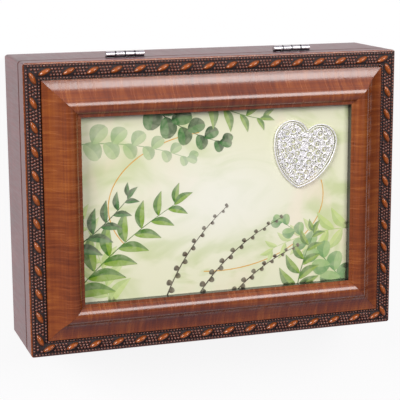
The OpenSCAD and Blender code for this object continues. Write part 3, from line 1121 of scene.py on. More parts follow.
@dataclass(frozen=True)
class Studio:
    """Camera, floor and soft light round the box."""

    eye: Triple = (-0.22502, 0.14273, 0.71156)
    look: Triple = (0.30359, -0.19977, -0.93162)
    up: Triple = (0.06713, 0.97983, -0.18824)
    lens_mm: float = 121.5
    near_clip: float = 0.01
    floor_reach: float = 0.55
    overhead: Colour = (0.13, 0.12, 0.13)
    sky: tuple[SkyTone, ...] = (
        SkyTone("X", 0.45, 0.80, (0.05, 0.045, 0.05)),
        SkyTone("Y", -0.18, -0.45, (0.30, 0.25, 0.34)),
        SkyTone("Y", 0.50, 0.70, (0.52, 0.45, 0.54)),
    )
    lamps: tuple[SoftLight, ...] = (
        SoftLight("key_softbox", (0.35, 0.46, 0.91), (0.58, 0.59), 6.9),
        SoftLight("side_softbox", (-1.72, 1.00, 0.95), (1.05, 1.05), 49.0),
    )

    def build(self) -> None:
        """Makes the camera, the floor, the surroundings and the lamps."""
        self.build_camera()
        self.build_floor()
        self.build_surroundings()
        low, high = CAD_BOX
        for lamp in self.lamps:
            lamp.switch_on((low + high) / 2)
        bpy.context.scene.view_settings.view_transform = "Standard"

    def build_camera(self) -> None:
        """Makes the camera at the photograph's angle."""
        data = bpy.data.cameras.new("photo_camera")
        data.lens = self.lens_mm
        data.clip_start = self.near_clip
        camera = put("photo_camera", data)
        camera.matrix_world = stand(self.eye, -Vector(self.look), Vector(self.up))
        bpy.context.scene.camera = camera

    def build_floor(self) -> None:
        """Makes the white floor under the box."""
        mesh = bpy.data.meshes.new("studio_floor")
        r = self.floor_reach
        mesh.from_pydata([(-r, -r, 0), (r, -r, 0), (r, r, 0), (-r, r, 0)], [], [(0, 1, 2, 3)])
        sweep = StudioFloor("white_sweep", shade=0.90, glow_share=0.88, fade=(0.6 * r, r))
        mesh.materials.append(sweep.material())
        floor = put("studio_floor", mesh)

    def build_surroundings(self) -> None:
        """Makes the surroundings: dim, dark on the right, paler before and behind, white to the camera."""
        world = bpy.data.worlds.new("studio_surroundings")
        sheet = NodeSheet(world)
        ways = sheet.add("SeparateXYZ", sheet.add("TexCoord").outputs["Generated"]).outputs
        tone: object = self.overhead
        for part in self.sky:
            share = sheet.add("MapRange", ways[part.axis], part.start, part.end).outputs[0]
            tone = sheet.mix(share, tone, part.tone)
        tone = sheet.mix(sheet.add("LightPath").outputs["Is Camera Ray"], tone, WHITE)
        sheet.add("OutputWorld", sheet.add("Background", tone).outputs[0])
        bpy.context.scene.world = world


@dataclass(frozen=True)
class Carcass:
    """The four walls, the base panel and its brads, and the felt underneath."""

    specular: float = 0.8
    satin: float = 0.38
    hardboard: Fibre = Fibre("base_hardboard", (0.11, 0.055, 0.026), (0.24, 0.135, 0.068),
                             per_metre=900, relief=0.05 * MM, roughness=0.75)
    steel: Metal = Metal("brad_steel", STEEL_BRIGHT, STEEL_DULL, smooth=0.30, rough=0.50,
                         marks=(900, 900, 200))
    felt: Fibre = Fibre("black_felt", (0.006, 0.006, 0.006), (0.030, 0.028, 0.027),
                        per_metre=1500, relief=0.25 * MM, roughness=0.95)
    felt_roll: float = 0.45 * MM
    felt_cells: int = 60

    def build(self) -> None:
        """Dresses the walls and the base, and makes the felt."""
        seam_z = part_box("back_wall")[1].z
        for grain in Grain:
            wood = Lacquer(f"box_wood_{grain.value}", grain, BOX_TONES, self.specular, self.satin, seam_z)
            dress(grain.nodes("wall"), wood.material())
        dress(["base_panel"], self.hardboard.material())
        dress(["base_brads"], self.steel.material())
        self.build_felt()

    def build_felt(self) -> None:
        """Makes the felt sheet under the box, with soft cut edges."""
        low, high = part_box("felt_base")
        points, faces = SoftSlab(*(high - low), self.felt_roll, self.felt_cells).shell()
        form = Form.of(points + np.array([0, 0, low.z]), faces)
        settle(form.piece("felt_sheet", self.felt.material()), "box", "felt", "felt_base")


@dataclass(frozen=True)
class VelvetLining:
    """Velvet over the floor pad, over the four wall boards and over the panel inside the lid."""

    velvet: Velvet = Velvet("burgundy_velvet", shade=(0.085, 0.006, 0.012), crushed=(0.16, 0.013, 0.024),
                            rim=(0.62, 0.16, 0.20))
    board_roll: float = 0.9 * MM
    board_cells: int = 48
    pad_roll: float = 1.4 * MM
    pad_cells: int = 90
    pad_crown: float = 0.7 * MM
    pad_pull: float = 1.2 * MM
    pad_pucker: float = 0.12 * MM
    pad_fill: float = 0.5

    def build(self) -> None:
        """Makes all the linings."""
        cloth = self.velvet.material()
        for side in Side:
            self.build_wall_board(side, cloth)
        self.build_pad("floor_pad", "floor_lining", "box", cloth, faces_up=True)
        self.build_pad("lid_pad", "lid_lining", "lid", cloth, faces_up=False)

    def build_wall_board(self, side: Side, cloth: bpy.types.Material) -> None:
        """Makes the covered board on one wall, with its velvet towards the inside.

        Args:
            side: The wall.
            cloth: Its velvet.
        """
        low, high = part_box(f"{side.label}_lining")
        size = high - low
        length, thickness = (size.x, size.y) if side.grain is Grain.ALONG_X else (size.y, size.x)
        points, faces = SoftSlab(length, size.z, thickness, self.board_roll, self.board_cells).shell()
        inset = side.half_sizes()[1] - self.outer_face(side, low, high)
        upright = np.column_stack([points[:, 0], points[:, 2] + inset, points[:, 1] + low.z + size.z / 2])
        form = Form.of(side.placed(upright), faces)
        settle(form.piece(f"{side.label}_velvet", cloth), "box", "velvet", f"{side.label}_lining")

    @staticmethod
    def outer_face(side: Side, low: Vector, high: Vector) -> float:
        """Gives the distance from the middle of the box to the back of a wall board."""
        return {Side.FRONT: -low.y, Side.RIGHT: high.x, Side.BACK: high.y, Side.LEFT: -low.x}[side]

    def build_pad(self, name: str, node: str, body: str, cloth: bpy.types.Material, faces_up: bool) -> None:
        """Makes a padded panel.

        Args:
            name: The pad's name.
            node: The solid that it stands for.
            body: The body that it rides on.
            cloth: Its velvet.
            faces_up: Whether its crown points up or down.
        """
        low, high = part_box(node)
        slab = SoftSlab(*(high - low), self.pad_roll, self.pad_cells, self.pad_crown, self.pad_pull,
                        self.pad_pucker)
        points, faces = slab.shell()
        if faces_up:
            points[:, 2] += low.z
        else:
            points[:, 2] = high.z - points[:, 2]
        pad = settle(Form.of(points, faces).piece(name, cloth), body, "velvet", node)


@dataclass(frozen=True)
class FrameRails:
    """The four mitred rails of the lid, with what holds them and the print together."""

    specular: float = 1.0
    satin: float = 0.25
    fillet_drop: float = 0.08 * MM
    card: Fibre = Fibre("grey_backing_card", (0.16, 0.14, 0.12), (0.30, 0.27, 0.23),
                        per_metre=700, relief=0.04 * MM, roughness=0.85)
    steel: Metal = Metal("point_steel", STEEL_BRIGHT, STEEL_DULL, smooth=0.28, rough=0.48,
                         marks=(200, 900, 900))

    def build(self) -> None:
        """Dresses the rails, the backing board, the points and the corner nails."""
        seam_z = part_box("back_rail")[0].z
        outer_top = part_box("front_rope_trim")[0].z - self.fillet_drop
        for grain in Grain:
            wood = FrameLacquer(
                f"frame_wood_{grain.value}", grain, FRAME_TONES, self.specular, self.satin, seam_z,
                outer_half=Side.FRONT.half_sizes(), outer_top=outer_top, sight_half=self.sight_half())
            dress(grain.nodes("rail"), wood.material())
        dress(["backing_board"], self.card.material())
        dress(["frame_points", "corner_nails"], self.steel.material())

    @staticmethod
    def sight_half() -> Pair:
        """Gives half the width and half the depth of the sight opening."""
        return -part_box("left_rail")[1].x, -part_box("front_rail")[1].y


@dataclass(frozen=True)
class RopeTrim:
    """Carved strip on each rail: slanted leaves, bead clusters between them and two rows of beads."""

    leaf_pitch: float = 12.3 * MM
    leaf_margin: float = 7.5 * MM
    leaf_shifts: tuple[float, ...] = (0.1 * MM, 1.6 * MM, 1.5 * MM, 0.8 * MM)
    leaf_length: float = 7.2 * MM
    leaf_width: float = 3.0 * MM
    leaf_height: float = 2.15 * MM
    leaf_slant: float = math.radians(26)
    leaf_sink: float = 0.15 * MM
    leaf_keel: float = 0.3 * MM
    leaf_belly: float = 0.62
    leaf_ridge: float = 0.6
    leaf_tips: float = 0.5
    leaf_rub: float = 0.6
    leaf_stations: int = 15
    leaf_ribs: int = 9
    row_bead: float = 0.56 * MM
    row_pitch: float = 1.65 * MM
    row_inset: float = 0.60 * MM
    cluster_bead: float = 0.72 * MM
    cluster_pitch: float = 1.75 * MM
    cluster_row: float = 1.45 * MM
    cluster_lean: float = 0.40 * MM
    cluster_counts: tuple[int, ...] = (4, 3, 4)
    bead_sink: float = 0.2 * MM
    bead_rub: float = 0.8
    bead_segments: int = 12
    bead_rings: int = 4
    strip_height: float = 1.45 * MM
    strip_ease: float = 0.1 * MM
    groove_depth: float = 0.30 * MM
    groove_start: float = 1.30 * MM
    groove_width: float = 0.45 * MM
    groove_slope: float = 0.25 * MM
    mitre_gap: float = 0.05 * MM
    glaze: Colour = (0.011, 0.0032, 0.0050)
    bead_tone: Colour = (0.24, 0.082, 0.050)
    leaf_tone: Colour = (0.43, 0.105, 0.016)

    def build(self) -> None:
        """Makes the four strips."""
        finish = RopeGlaze("rubbed_glaze").material()
        for side in Side:
            self.build_strip(side, finish)

    def build_strip(self, side: Side, finish: bpy.types.Material) -> None:
        """Makes the strip of one side in place of its solid.

        Args:
            side: The side.
            finish: The glaze.
        """
        low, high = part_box("front_rope_trim")
        start = low.y + Side.FRONT.half_sizes()[1]
        width = high.y - low.y
        half = side.half_sizes()[0] - self.mitre_gap
        foot = low.z + self.strip_height
        leaves = self.leaf_places(half) - self.leaf_shifts[side.value]
        form = Form()
        self.add_bed(form, start, width, half, low.z)
        self.add_leaves(form, leaves, start + width / 2, foot)
        self.add_beads(form, self.cluster_places(leaves, start + width / 2), half, foot, self.cluster_bead)
        for inset in (start + self.row_inset, start + width - self.row_inset):
            self.add_beads(form, self.row_places(half, inset), half, foot, self.row_bead)
        form.points = [side.placed(points) for points in form.points]
        rope = form.piece(f"{side.label}_carved_rope", finish)
        settle(rope, "lid", "rope_glaze", f"{side.label}_rope_trim")

    def add_bed(self, form: Form, start: float, width: float, half: float, z: float) -> None:
        """Adds the strip under the ornament, mitred at its ends: two ledges, two grooves and a crowned field.

        Args:
            form: Where to add it.
            start: Inset of its outer edge.
            width: Its width.
            half: Half its length along the outer face of the rail.
            z: Height of its underside.
        """
        top = z + self.strip_height
        floor = top - self.groove_depth
        ease = self.strip_ease
        groove_end = self.groove_start + self.groove_width
        edge = [(0.0, z), (0.0, top - ease), (ease, top), (self.groove_start - ease, top),
                (self.groove_start, floor), (groove_end, floor),
                (groove_end + self.groove_slope, top - ease), (width / 2, top + ease)]
        mirrored = [(width - u, level) for u, level in reversed(edge[:-1])]
        inset, level = np.array([*edge, *mirrored]).T
        inset = inset + start
        ends = [np.column_stack([way * (half - inset), inset, level]) for way in (-1, 1)]
        form.add(loft(np.stack(ends)), tint_of(self.glaze, 0.0))

    def leaf_places(self, half: float) -> np.ndarray:
        """Gives the distance of each leaf along a side of that half length, before the side's shift."""
        count = math.floor((half + self.mitre_gap - self.leaf_margin) * 2 / self.leaf_pitch) + 1
        return centred(count, self.leaf_pitch)

    def add_leaves(self, form: Form, places: np.ndarray, inset: float, foot: float) -> None:
        """Adds a leaf at each place, with a soft ridge and glaze left along its foot.

        Args:
            form: Where to add them.
            places: Distance of each leaf along the side.
            inset: Inset of their middles.
            foot: Height of the surface that they stand on.
        """
        along = np.linspace(-1, 1, self.leaf_stations)[:, None]
        across = np.linspace(-1, 1, self.leaf_ribs)[None, :]
        arch = (1 - across ** 2) ** self.leaf_ridge * (1 - along ** 2) ** self.leaf_tips
        x = np.broadcast_to(along * self.leaf_length / 2, arch.shape)
        y = across * (1 - along ** 2) ** self.leaf_belly * self.leaf_width / 2
        crown = np.dstack([x, y, self.leaf_height * arch - self.leaf_sink])
        keel = np.dstack([x[:, :1], np.zeros_like(along), np.full_like(along, -self.leaf_keel)])
        turn = np.array(Matrix.Rotation(self.leaf_slant, 3, "Z"))
        shell = loft(np.hstack([crown, keel]) @ turn.T, Ends.POINTED)
        share = np.hstack([arch, np.zeros_like(along)]).ravel() ** self.leaf_rub
        form.add_copies(shell, [(place, inset, foot) for place in places], self.rubbed(share, self.leaf_tone))

    def rubbed(self, share: np.ndarray, tone: Colour) -> np.ndarray:
        """Gives colour and polish for each point, from dull glaze at 0 to polished wood of that tone at 1."""
        hollow = tint_of(self.glaze, 0.0)
        return hollow + share[:, None] * (tint_of(tone) - hollow)

    def cluster_places(self, leaves: np.ndarray, inset: float) -> np.ndarray:
        """Places the beads between the leaves, in leaning rows.

        Args:
            leaves: Distance of each leaf along the side.
            inset: Inset of the middle of the strip.

        Returns:
            Distance along the side and inset of each bead.
        """
        middles = [leaves[0] - self.leaf_pitch / 2, *(leaves + self.leaf_pitch / 2)]
        places = []
        for row, count in zip(centred(len(self.cluster_counts), 1.0), self.cluster_counts):
            steps = centred(count, self.cluster_pitch) + row * self.cluster_lean
            level = inset + row * self.cluster_row
            places += [(middle + step, level) for middle in middles for step in steps]
        return np.array(places)

    def row_places(self, half: float, inset: float) -> np.ndarray:
        """Gives the places of the beads in one row along an edge."""
        count = 2 * math.floor((half - inset) / self.row_pitch) + 1
        return np.column_stack([centred(count, self.row_pitch), np.full(count, inset)])

    def add_beads(self, form: Form, places: np.ndarray, half: float, foot: float, radius: float) -> None:
        """Adds a bead at each place that lies clear of the mitres.

        Args:
            form: Where to add them.
            places: Distance along the side and inset of each bead.
            half: Half the length of the strip.
            foot: Height of the surface that the beads stand on.
            radius: Radius and height of a bead.
        """
        points, faces = dome(radius, self.bead_sink, self.bead_segments, self.bead_rings)
        share = np.clip(points[:, 2] / radius, 0, 1) ** self.bead_rub
        clear = [(x, y, foot) for x, y in places if abs(x) < half - y - radius]
        form.add_copies((points, faces), clear, self.rubbed(share, self.bead_tone))


class LeafForm(Enum):
    """Kinds of leaf in the printed design: widest place and greatest half width, as shares of its length."""

    POINTED = (0.42, 0.17)
    ROUND = (0.55, 0.40)
    BERRY = (0.50, 0.50)

    def half_width(self, share: np.ndarray) -> np.ndarray:
        """Gives half the width of a leaf of length 1.

        Args:
            share: Places along it, as shares of its length.

        Returns:
            The half width at each place.
        """
        widest, greatest = self.value
        power = math.log(0.5) / math.log(widest)
        fullness = 1.0 if self is LeafForm.POINTED else 0.5
        return greatest * np.sin(math.pi * share ** power) ** fullness


class Ink(Enum):
    """Inks of the printed design: the shaded half of a leaf and its bright half."""

    DEEP = ((0.006, 0.058, 0.008), (0.022, 0.145, 0.020))
    LEAF = ((0.050, 0.165, 0.006), (0.185, 0.330, 0.018))
    PALE = ((0.300, 0.480, 0.060), (0.450, 0.610, 0.130))
    SAGE = ((0.100, 0.270, 0.080), (0.240, 0.420, 0.140))
    BARK = ((0.030, 0.012, 0.007), (0.055, 0.022, 0.012))
    GOLD = ((0.640, 0.330, 0.040), (0.760, 0.450, 0.080))


@dataclass(frozen=True)
class Spray:
    """One printed frond or twig: a stem with leaves or berries on both sides, in millimetres and degrees."""

    root: Pair
    heading: float
    length: float
    curl: float
    pairs: int
    form: LeafForm
    leaf: float
    ink: Ink
    cover: float
    spread: float = 48.0
    fine_points: int = 80

    def stem(self, share: np.ndarray) -> tuple[np.ndarray, np.ndarray]:
        """Follows the stem.

        Args:
            share: Places along it, as shares of its length.

        Returns:
            Points on the stem in metres, and its heading at each in radians.
        """
        fine = np.linspace(0, 1, self.fine_points)
        heading = np.radians(self.heading + self.curl * fine)
        steps = np.column_stack([np.cos(heading), np.sin(heading)]) * self.length / (len(fine) - 1)
        line = np.array(self.root) + np.cumsum(steps, axis=0) - steps[0]
        points = np.column_stack([np.interp(share, fine, line[:, axis]) for axis in (0, 1)])
        return points * MM, np.radians(self.heading + self.curl * share)


@dataclass(frozen=True)
class PrintedCard:
    """The printed card under the frame: pale washes, fronds, sprigs, berry twigs and gold arcs."""

    paper: PrintedPaper = PrintedPaper(
        "watercolour_print", paper=(0.73, 0.735, 0.52), sage=(0.56, 0.62, 0.33), blush=(0.80, 0.71, 0.54),
        glow=(0.82, 0.82, 0.72), glow_reach=50 * MM)
    crease: float = 20.0
    trim_gap: float = 0.05 * MM
    ink_t: float = 0.006 * MM
    level_step: float = 0.0015 * MM
    spray_levels: int = 8
    leaf_levels: int = 6
    stem_width: float = 0.55 * MM
    stem_root: float = 1.15
    stem_taper: float = 0.75
    stem_points: int = 40
    leaf_run: Pair = (0.10, 0.95)
    leaf_shrink: float = 0.55
    leaf_ends: Pair = (0.02, 0.98)
    leaf_points: int = 13
    leaf_bow: float = 0.10
    leaf_fade: float = 0.22
    tip_leaf: float = 0.5
    oval: Pair = (60 * MM, 38 * MM)
    oval_line: float = 0.55 * MM
    oval_cover: float = 0.9
    oval_arcs: tuple[Pair, ...] = ((100.0, 218.0), (262.0, 372.0))
    arc_points: int = 90
    sprays: tuple[Spray, ...] = (
        Spray((-60, -56), 92, 56, 26, 6, LeafForm.POINTED, 19, Ink.PALE, 0.60),
        Spray((80, -20), 176, 50, 26, 6, LeafForm.POINTED, 17, Ink.PALE, 0.60),
        Spray((-78, 34), 4, 62, -26, 6, LeafForm.ROUND, 12, Ink.SAGE, 0.60),
        Spray((76, -56), 122, 58, 22, 6, LeafForm.ROUND, 13, Ink.SAGE, 0.85),
        Spray((-84, -50), 50, 78, -20, 7, LeafForm.POINTED, 24, Ink.LEAF, 0.95),
        Spray((-40, 56), -46, 48, 30, 5, LeafForm.ROUND, 14, Ink.DEEP, 0.95),
        Spray((44, -58), 84, 38, -20, 5, LeafForm.POINTED, 17, Ink.LEAF, 0.90),
        Spray((-82, -22), 30, 42, 18, 5, LeafForm.POINTED, 17, Ink.DEEP, 0.95),
        Spray((-8, 56), -36, 34, 26, 4, LeafForm.POINTED, 17, Ink.LEAF, 0.85),
        Spray((-30, -52), 70, 60, -30, 7, LeafForm.BERRY, 3.4, Ink.BARK, 0.95, 62.0),
        Spray((-14, -54), 58, 66, -34, 8, LeafForm.BERRY, 3.4, Ink.BARK, 0.95, 62.0),
        Spray((4, -56), 50, 50, -30, 7, LeafForm.BERRY, 3.2, Ink.BARK, 0.95, 62.0),
    )

    def build(self) -> None:
        """Makes the card with its design in place of the plain sheet."""
        form = Form()
        low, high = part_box("print_sheet")
        outline = [(low.x, low.y), (high.x, low.y), (high.x, high.y), (low.x, high.y)]
        form.add(loft(np.array([[(x, y, z) for x, y in outline] for z in (low.z, high.z)])))
        level = high.z + self.level_step
        self.add_arcs(form, level)
        for number, spray in enumerate(self.sprays, start=1):
            self.add_spray(form, spray, level + self.spray_levels * number * self.level_step)
        card = form.piece("printed_card", self.paper.material(), self.crease)
        self.trim_to_sight(card, high.z + self.level_step / 2)
        settle(card, "lid", "print_card", "print_sheet")

    def add_arcs(self, form: Form, z: float) -> None:
        """Adds the thin gold arcs, parts of one oval.

        Args:
            form: Where to add them.
            z: Height of their underside.
        """
        tint = tint_of(Ink.GOLD.value[0], self.oval_cover)
        for start, end in self.oval_arcs:
            turns = np.radians(np.linspace(start, end, self.arc_points))
            ring = np.column_stack([np.cos(turns), np.sin(turns)])
            outer = ring * np.array(self.oval)
            inner = ring * (np.array(self.oval) - self.oval_line)
            self.add_strip(form, inner, outer, z, tint)

    def add_spray(self, form: Form, spray: Spray, z: float) -> None:
        """Adds a spray: its stem, then leaves on both sides that shrink towards the tip, and one at the tip.

        Inks that overlap lie on levels of their own.

        Args:
            form: Where to add it.
            spray: The spray.
            z: Height of the underside of its stem.
        """
        share = np.linspace(0, 1, self.stem_points)
        line, heading = spray.stem(share)
        across = np.column_stack([-np.sin(heading), np.cos(heading)]) * self.stem_width / 2
        across *= (self.stem_root - self.stem_taper * share)[:, None]
        self.add_strip(form, line + across, line - across, z, tint_of(spray.ink.value[0], spray.cover))
        places = np.linspace(*self.leaf_run, spray.pairs)
        points, headings = spray.stem(places)
        for number, (place, point, ahead) in enumerate(zip(places, points, headings)):
            size = spray.leaf * (1.0 - self.leaf_shrink * place) * MM
            for turn, way in enumerate((-1, 1)):
                level = z + (1 + (2 * number + turn) % self.leaf_levels) * self.level_step
                lag = turn * spray.length / (spray.pairs + 1) * MM / 2
                root = point + lag * np.array([math.cos(ahead), math.sin(ahead)])
                self.add_leaf(form, spray, root, ahead + way * math.radians(spray.spread), size, level)
        tip, ahead = spray.stem(np.array([1.0]))
        top = z + (self.leaf_levels + 1) * self.level_step
        self.add_leaf(form, spray, tip[0], ahead[0], spray.leaf * self.tip_leaf * MM, top)

    def add_leaf(self, form: Form, spray: Spray, root: np.ndarray, heading: float, size: float,
                 z: float) -> None:
        """Adds a leaf as a shaded half and a bright half that fade towards the tip.

        Args:
            form: Where to add it.
            spray: The spray that it grows on.
            root: Where it leaves the stem.
            heading: Its direction in radians.
            size: Its length.
            z: Height of its underside.
        """
        share = np.linspace(*self.leaf_ends, self.leaf_points)
        ahead = np.array([math.cos(heading), math.sin(heading)])
        across = np.array([-ahead[1], ahead[0]])
        bow = self.leaf_bow * np.sin(math.pi * share)
        spine = root + size * (share[:, None] * ahead + bow[:, None] * across)
        edge = size * spray.form.half_width(share)[:, None] * across
        cover = spray.cover * (1.0 - self.leaf_fade * share)
        for tone, left, right in zip(spray.ink.value, (spine, spine - edge), (spine + edge, spine)):
            tint = np.column_stack([np.tile(tone, (len(share), 1)), cover])
            self.add_strip(form, left, right, z, tint)

    def add_strip(self, form: Form, left: np.ndarray, right: np.ndarray, z: float, tint: np.ndarray) -> None:
        """Adds a thin closed plate of ink between two lines.

        Args:
            form: Where to add it.
            left: Points of one line.
            right: Points of the other line.
            z: Height of the plate's underside.
            tint: Colour and cover, one row for each point of a line or one row for all.
        """
        low, high = np.full(len(left), z), np.full(len(left), z + self.ink_t)
        lines = [(left, low), (right, low), (right, high), (left, high)]
        rings = np.stack([np.column_stack(line) for line in lines], axis=1)
        rows = np.repeat(tint, len(lines), axis=0) if tint.ndim > 1 else tint
        form.add(loft(rings), rows)

    def trim_to_sight(self, card: bpy.types.Object, ink_z: float) -> None:
        """Cuts the design off at the sight edge and closes the cuts.

        Args:
            card: The printed card.
            ink_z: Height above which the mesh is ink.
        """
        work = bmesh.new()
        work.from_mesh(card.data)
        length, reach = FrameRails.sight_half()
        for side in Side:
            inset = (reach if side.grain is Grain.ALONG_X else length) - self.trim_gap
            outward = Vector(side.placed(np.array([[0.0, 0.0, 0.0]]))[0]).normalized()
            ink = {vert for vert in work.verts if vert.co.z > ink_z}
            edges = [edge for edge in work.edges if ink.issuperset(edge.verts)]
            faces = [face for face in work.faces if ink.issuperset(face.verts)]
            bmesh.ops.bisect_plane(work, geom=[*ink, *edges, *faces], plane_co=outward * inset,
                                   plane_no=outward, clear_outer=True)
            cuts = [edge for edge in work.edges if edge.is_boundary]
            bmesh.ops.holes_fill(work, edges=cuts, sides=0)
        bmesh.ops.recalc_face_normals(work, faces=work.faces)
        work.to_mesh(card.data)
        work.free()


@dataclass(frozen=True)
class FiligreeHeart:
    """The pierced silver heart on the print: a rim, a beaded wire, a vein and mirrored scrolls."""

    silver: Silver = Silver("filigree_silver", bright=(0.90, 0.89, 0.87), dull=(0.74, 0.74, 0.76))
    middle: Pair = (49.05 * MM, 30.05 * MM)
    tilt: float = math.radians(-10)
    half_width: float = 18.0 * MM
    lobe_radius: float = 9.8 * MM
    tip: float = 26.0 * MM
    fold_points: int = 8
    arc_points: int = 48
    rim_radius: float = 0.36 * MM
    rim_rise: float = 1.0 * MM
    rim_sides: int = 12
    bead_inset: float = 1.60 * MM
    bead_radius: float = 0.34 * MM
    bead_pitch: float = 1.00 * MM
    bead_sink: float = 0.3 * MM
    bead_segments: int = 8
    bead_rings: int = 3
    wire_radius: float = 0.24 * MM
    wire_rise: float = 0.62 * MM
    wire_sides: int = 8
    vein_points: int = 30
    scroll_inset: float = 2.0 * MM
    scroll_radii: tuple[float, ...] = (1.9 * MM, 1.6 * MM, 1.35 * MM, 1.1 * MM, 0.9 * MM, 0.7 * MM, 0.5 * MM)
    scroll_tries: int = 900
    scroll_turns: float = 1.9
    scroll_wind: Triple = (1.0, 0.96, 0.36)
    scroll_points: int = 34
    scroll_sides: int = 7
    scroll_bead_sink: float = 0.4 * MM
    seed: int = 11

    @property
    def side_radius(self) -> float:
        """The radius of the arc from a lobe to the tip."""
        return (self.tip ** 2 + self.half_width ** 2) / (2 * self.half_width)

    def build(self) -> None:
        """Makes the heart in place of its solid."""
        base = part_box("heart_ornament")[0].z
        form = Form()
        rim = self.level(self.outline(self.rim_radius), self.rim_rise)
        form.add(wire(rim, self.rim_radius, self.rim_sides, Ends.JOINED))
        inner = self.outline(self.bead_inset)
        form.add(wire(self.level(inner, self.wire_rise), self.wire_radius, self.wire_sides, Ends.JOINED))
        beads = self.level(self.evenly(inner, self.bead_pitch), self.wire_rise + self.wire_radius / 2)
        form.add_copies(self.bead(self.bead_sink), beads)
        self.add_vein(form, inner)
        for middle, radius in self.scroll_places():
            for way in (-1, 1):
                self.add_scroll(form, middle, radius, way)
        turn = np.array(Matrix.Rotation(self.tilt, 3, "Z"))
        place = np.array([*self.middle, base])
        form.points = [points @ turn.T + place for points in form.points]
        settle(form.piece("filigree_heart", self.silver.material()), "lid", "heart_silver", "heart_ornament")

    def bead(self, sink: float) -> Shell:
        """Draws a bead of the heart, sunk so far."""
        return dome(self.bead_radius, sink, self.bead_segments, self.bead_rings)

    @staticmethod
    def level(flat: np.ndarray, z: float) -> np.ndarray:
        """Lifts flat points to a height."""
        return np.column_stack([flat, np.full(len(flat), z)])

    @staticmethod
    def arc(middle: Pair, radius: float, start: float, end: float, count: int) -> np.ndarray:
        """Gives points on an arc between two angles in radians."""
        turns = np.linspace(start, end, count)
        return np.array(middle) + radius * np.column_stack([np.cos(turns), np.sin(turns)])

    def outline(self, inset: float) -> np.ndarray:
        """Draws the outline of the heart about the middle of its lobes.

        Args:
            inset: Distance in from the outside.

        Returns:
            Points from the notch, round the right lobe to the tip, and back up the left side.
        """
        lobe_x = self.half_width - self.lobe_radius
        notch = math.sqrt(self.lobe_radius ** 2 - lobe_x ** 2)
        turn = math.atan2(notch, -lobe_x)
        side_x = self.side_radius - self.half_width
        flank_radius = self.side_radius - inset
        flank_end = -math.acos(side_x / flank_radius)
        fold = self.arc((0, notch), inset, -math.pi / 2, turn - math.pi, self.fold_points)
        lobe = self.arc((lobe_x, 0), self.lobe_radius - inset, turn, 0, self.arc_points)
        flank = self.arc((-side_x, 0), flank_radius, 0, flank_end, self.arc_points)
        right = np.vstack([fold[:-1], lobe[:-1], flank])
        return np.vstack([right, right[-2:0:-1] * np.array([-1, 1])])

    @staticmethod
    def evenly(path: np.ndarray, pitch: float) -> np.ndarray:
        """Spaces points along a closed path.

        Args:
            path: The path's points.
            pitch: About how far apart the points are.

        Returns:
            The points.
        """
        ring = np.vstack([path, path[:1]])
        gone = np.concatenate([[0], np.cumsum(np.linalg.norm(np.diff(ring, axis=0), axis=1))])
        marks = np.linspace(0, gone[-1], round(gone[-1] / pitch), endpoint=False)
        return np.column_stack([np.interp(marks, gone, ring[:, axis]) for axis in (0, 1)])

    def add_vein(self, form: Form, inner: np.ndarray) -> None:
        """Adds the wire down the middle, from the notch to the tip.

        Args:
            form: Where to add it.
            inner: The line of the beaded wire, which it joins.
        """
        notch = inner[:, 1][np.abs(inner[:, 0]).argmin()]
        ys = np.linspace(notch, inner[:, 1].min(), self.vein_points)
        line = np.column_stack([np.zeros(len(ys)), ys])
        form.add(wire(self.level(line, self.wire_rise), self.wire_radius, self.wire_sides))

    def scroll_places(self) -> list[tuple[np.ndarray, float]]:
        """Packs scrolls into the right half, the widest first.

        Returns:
            The middle and radius of each scroll.
        """
        chance = Random(self.seed)
        edge = self.outline(self.scroll_inset)
        placed: list[tuple[np.ndarray, float]] = []
        for radius in self.scroll_radii:
            for _ in range(self.scroll_tries):
                across = chance.uniform(0, self.half_width)
                spot = np.array([across, chance.uniform(-self.tip, self.lobe_radius)])
                clear = np.linalg.norm(edge - spot, axis=1).min() - radius
                gaps = [np.linalg.norm(spot - other) - radius - size for other, size in placed]
                apart = all(gap > -self.wire_radius / 2 for gap in gaps)
                if self.inside(spot) and clear > 0 and across > radius and apart:
                    placed.append((spot, radius))
        return placed

    def inside(self, spot: np.ndarray) -> bool:
        """Tells whether a scroll's middle lies within the heart.

        Args:
            spot: The middle.

        Returns:
            Whether it does.
        """
        x, y = abs(spot[0]), spot[1]
        in_lobe = math.hypot(x - self.half_width + self.lobe_radius, y) < self.lobe_radius - self.scroll_inset
        flank = math.hypot(x + self.side_radius - self.half_width, y)
        return in_lobe or (y < 0 and flank < self.side_radius - self.scroll_inset)

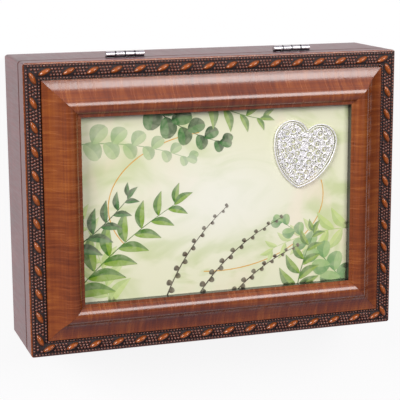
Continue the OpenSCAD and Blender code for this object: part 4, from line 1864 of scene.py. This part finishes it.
    def add_scroll(self, form: Form, middle: np.ndarray, radius: float, way: int) -> None:
        """Adds a scroll of wire that winds in to a bead.

        Args:
            form: Where to add it.
            middle: Its middle in the right half.
            radius: Its outer radius.
            way: 1 for the right half, or -1 for its mirror image on the left.
        """
        share = np.linspace(0, 1, self.scroll_points)
        turns = share * 2 * math.pi * self.scroll_turns + math.atan2(-middle[1], -middle[0])
        reach = radius * np.interp(share, [0, 0.5, 1], self.scroll_wind)
        path = middle + reach[:, None] * np.column_stack([np.cos(turns), np.sin(turns)])
        mirror = np.array([way, 1])
        form.add(wire(self.level(path * mirror, self.wire_rise), self.wire_radius, self.scroll_sides))
        form.add_copies(self.bead(self.scroll_bead_sink), [(*(middle * mirror), self.wire_rise)])


@dataclass(frozen=True)
class ButtHinges:
    """The two plated hinges with their pins and screws."""

    knuckles: int = 4
    steel: Metal = Metal("pin_steel", (0.66, 0.65, 0.63), (0.48, 0.47, 0.46), smooth=0.20, rough=0.40,
                         marks=(1200, 300, 300))

    def build(self) -> None:
        """Dresses the hinges."""
        pin_low, pin_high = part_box("right_hinge_pin")
        leaf_low, leaf_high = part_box("right_body_leaf")
        barrel = (pin_low + pin_high) / 2
        plating = HingePlating(
            "bright_plating", (0.60, 0.59, 0.60), (0.42, 0.41, 0.42), smooth=0.09, rough=0.17,
            marks=(150, 1200, 1200), barrel=barrel, radius=leaf_high.y - barrel.y,
            knuckle=(leaf_high.x - leaf_low.x) / self.knuckles)
        leaves = [f"{hand}_{body}_leaf" for hand in ("left", "right") for body in ("body", "lid")]
        dress(leaves, plating.material())
        fixings = ["left_hinge_pin", "right_hinge_pin", "body_leaf_screws", "lid_leaf_screws"]
        dress(fixings, self.steel.material())


def main() -> None:
    """Builds the studio and every sub-assembly."""
    logging.basicConfig(level=logging.INFO, format="%(message)s")
    Studio().build()
    for assembly in (Carcass(), VelvetLining(), FrameRails(), RopeTrim(), PrintedCard(), FiligreeHeart(),
                     ButtHinges()):
        assembly.build()


if __name__ == "__main__":
    main()
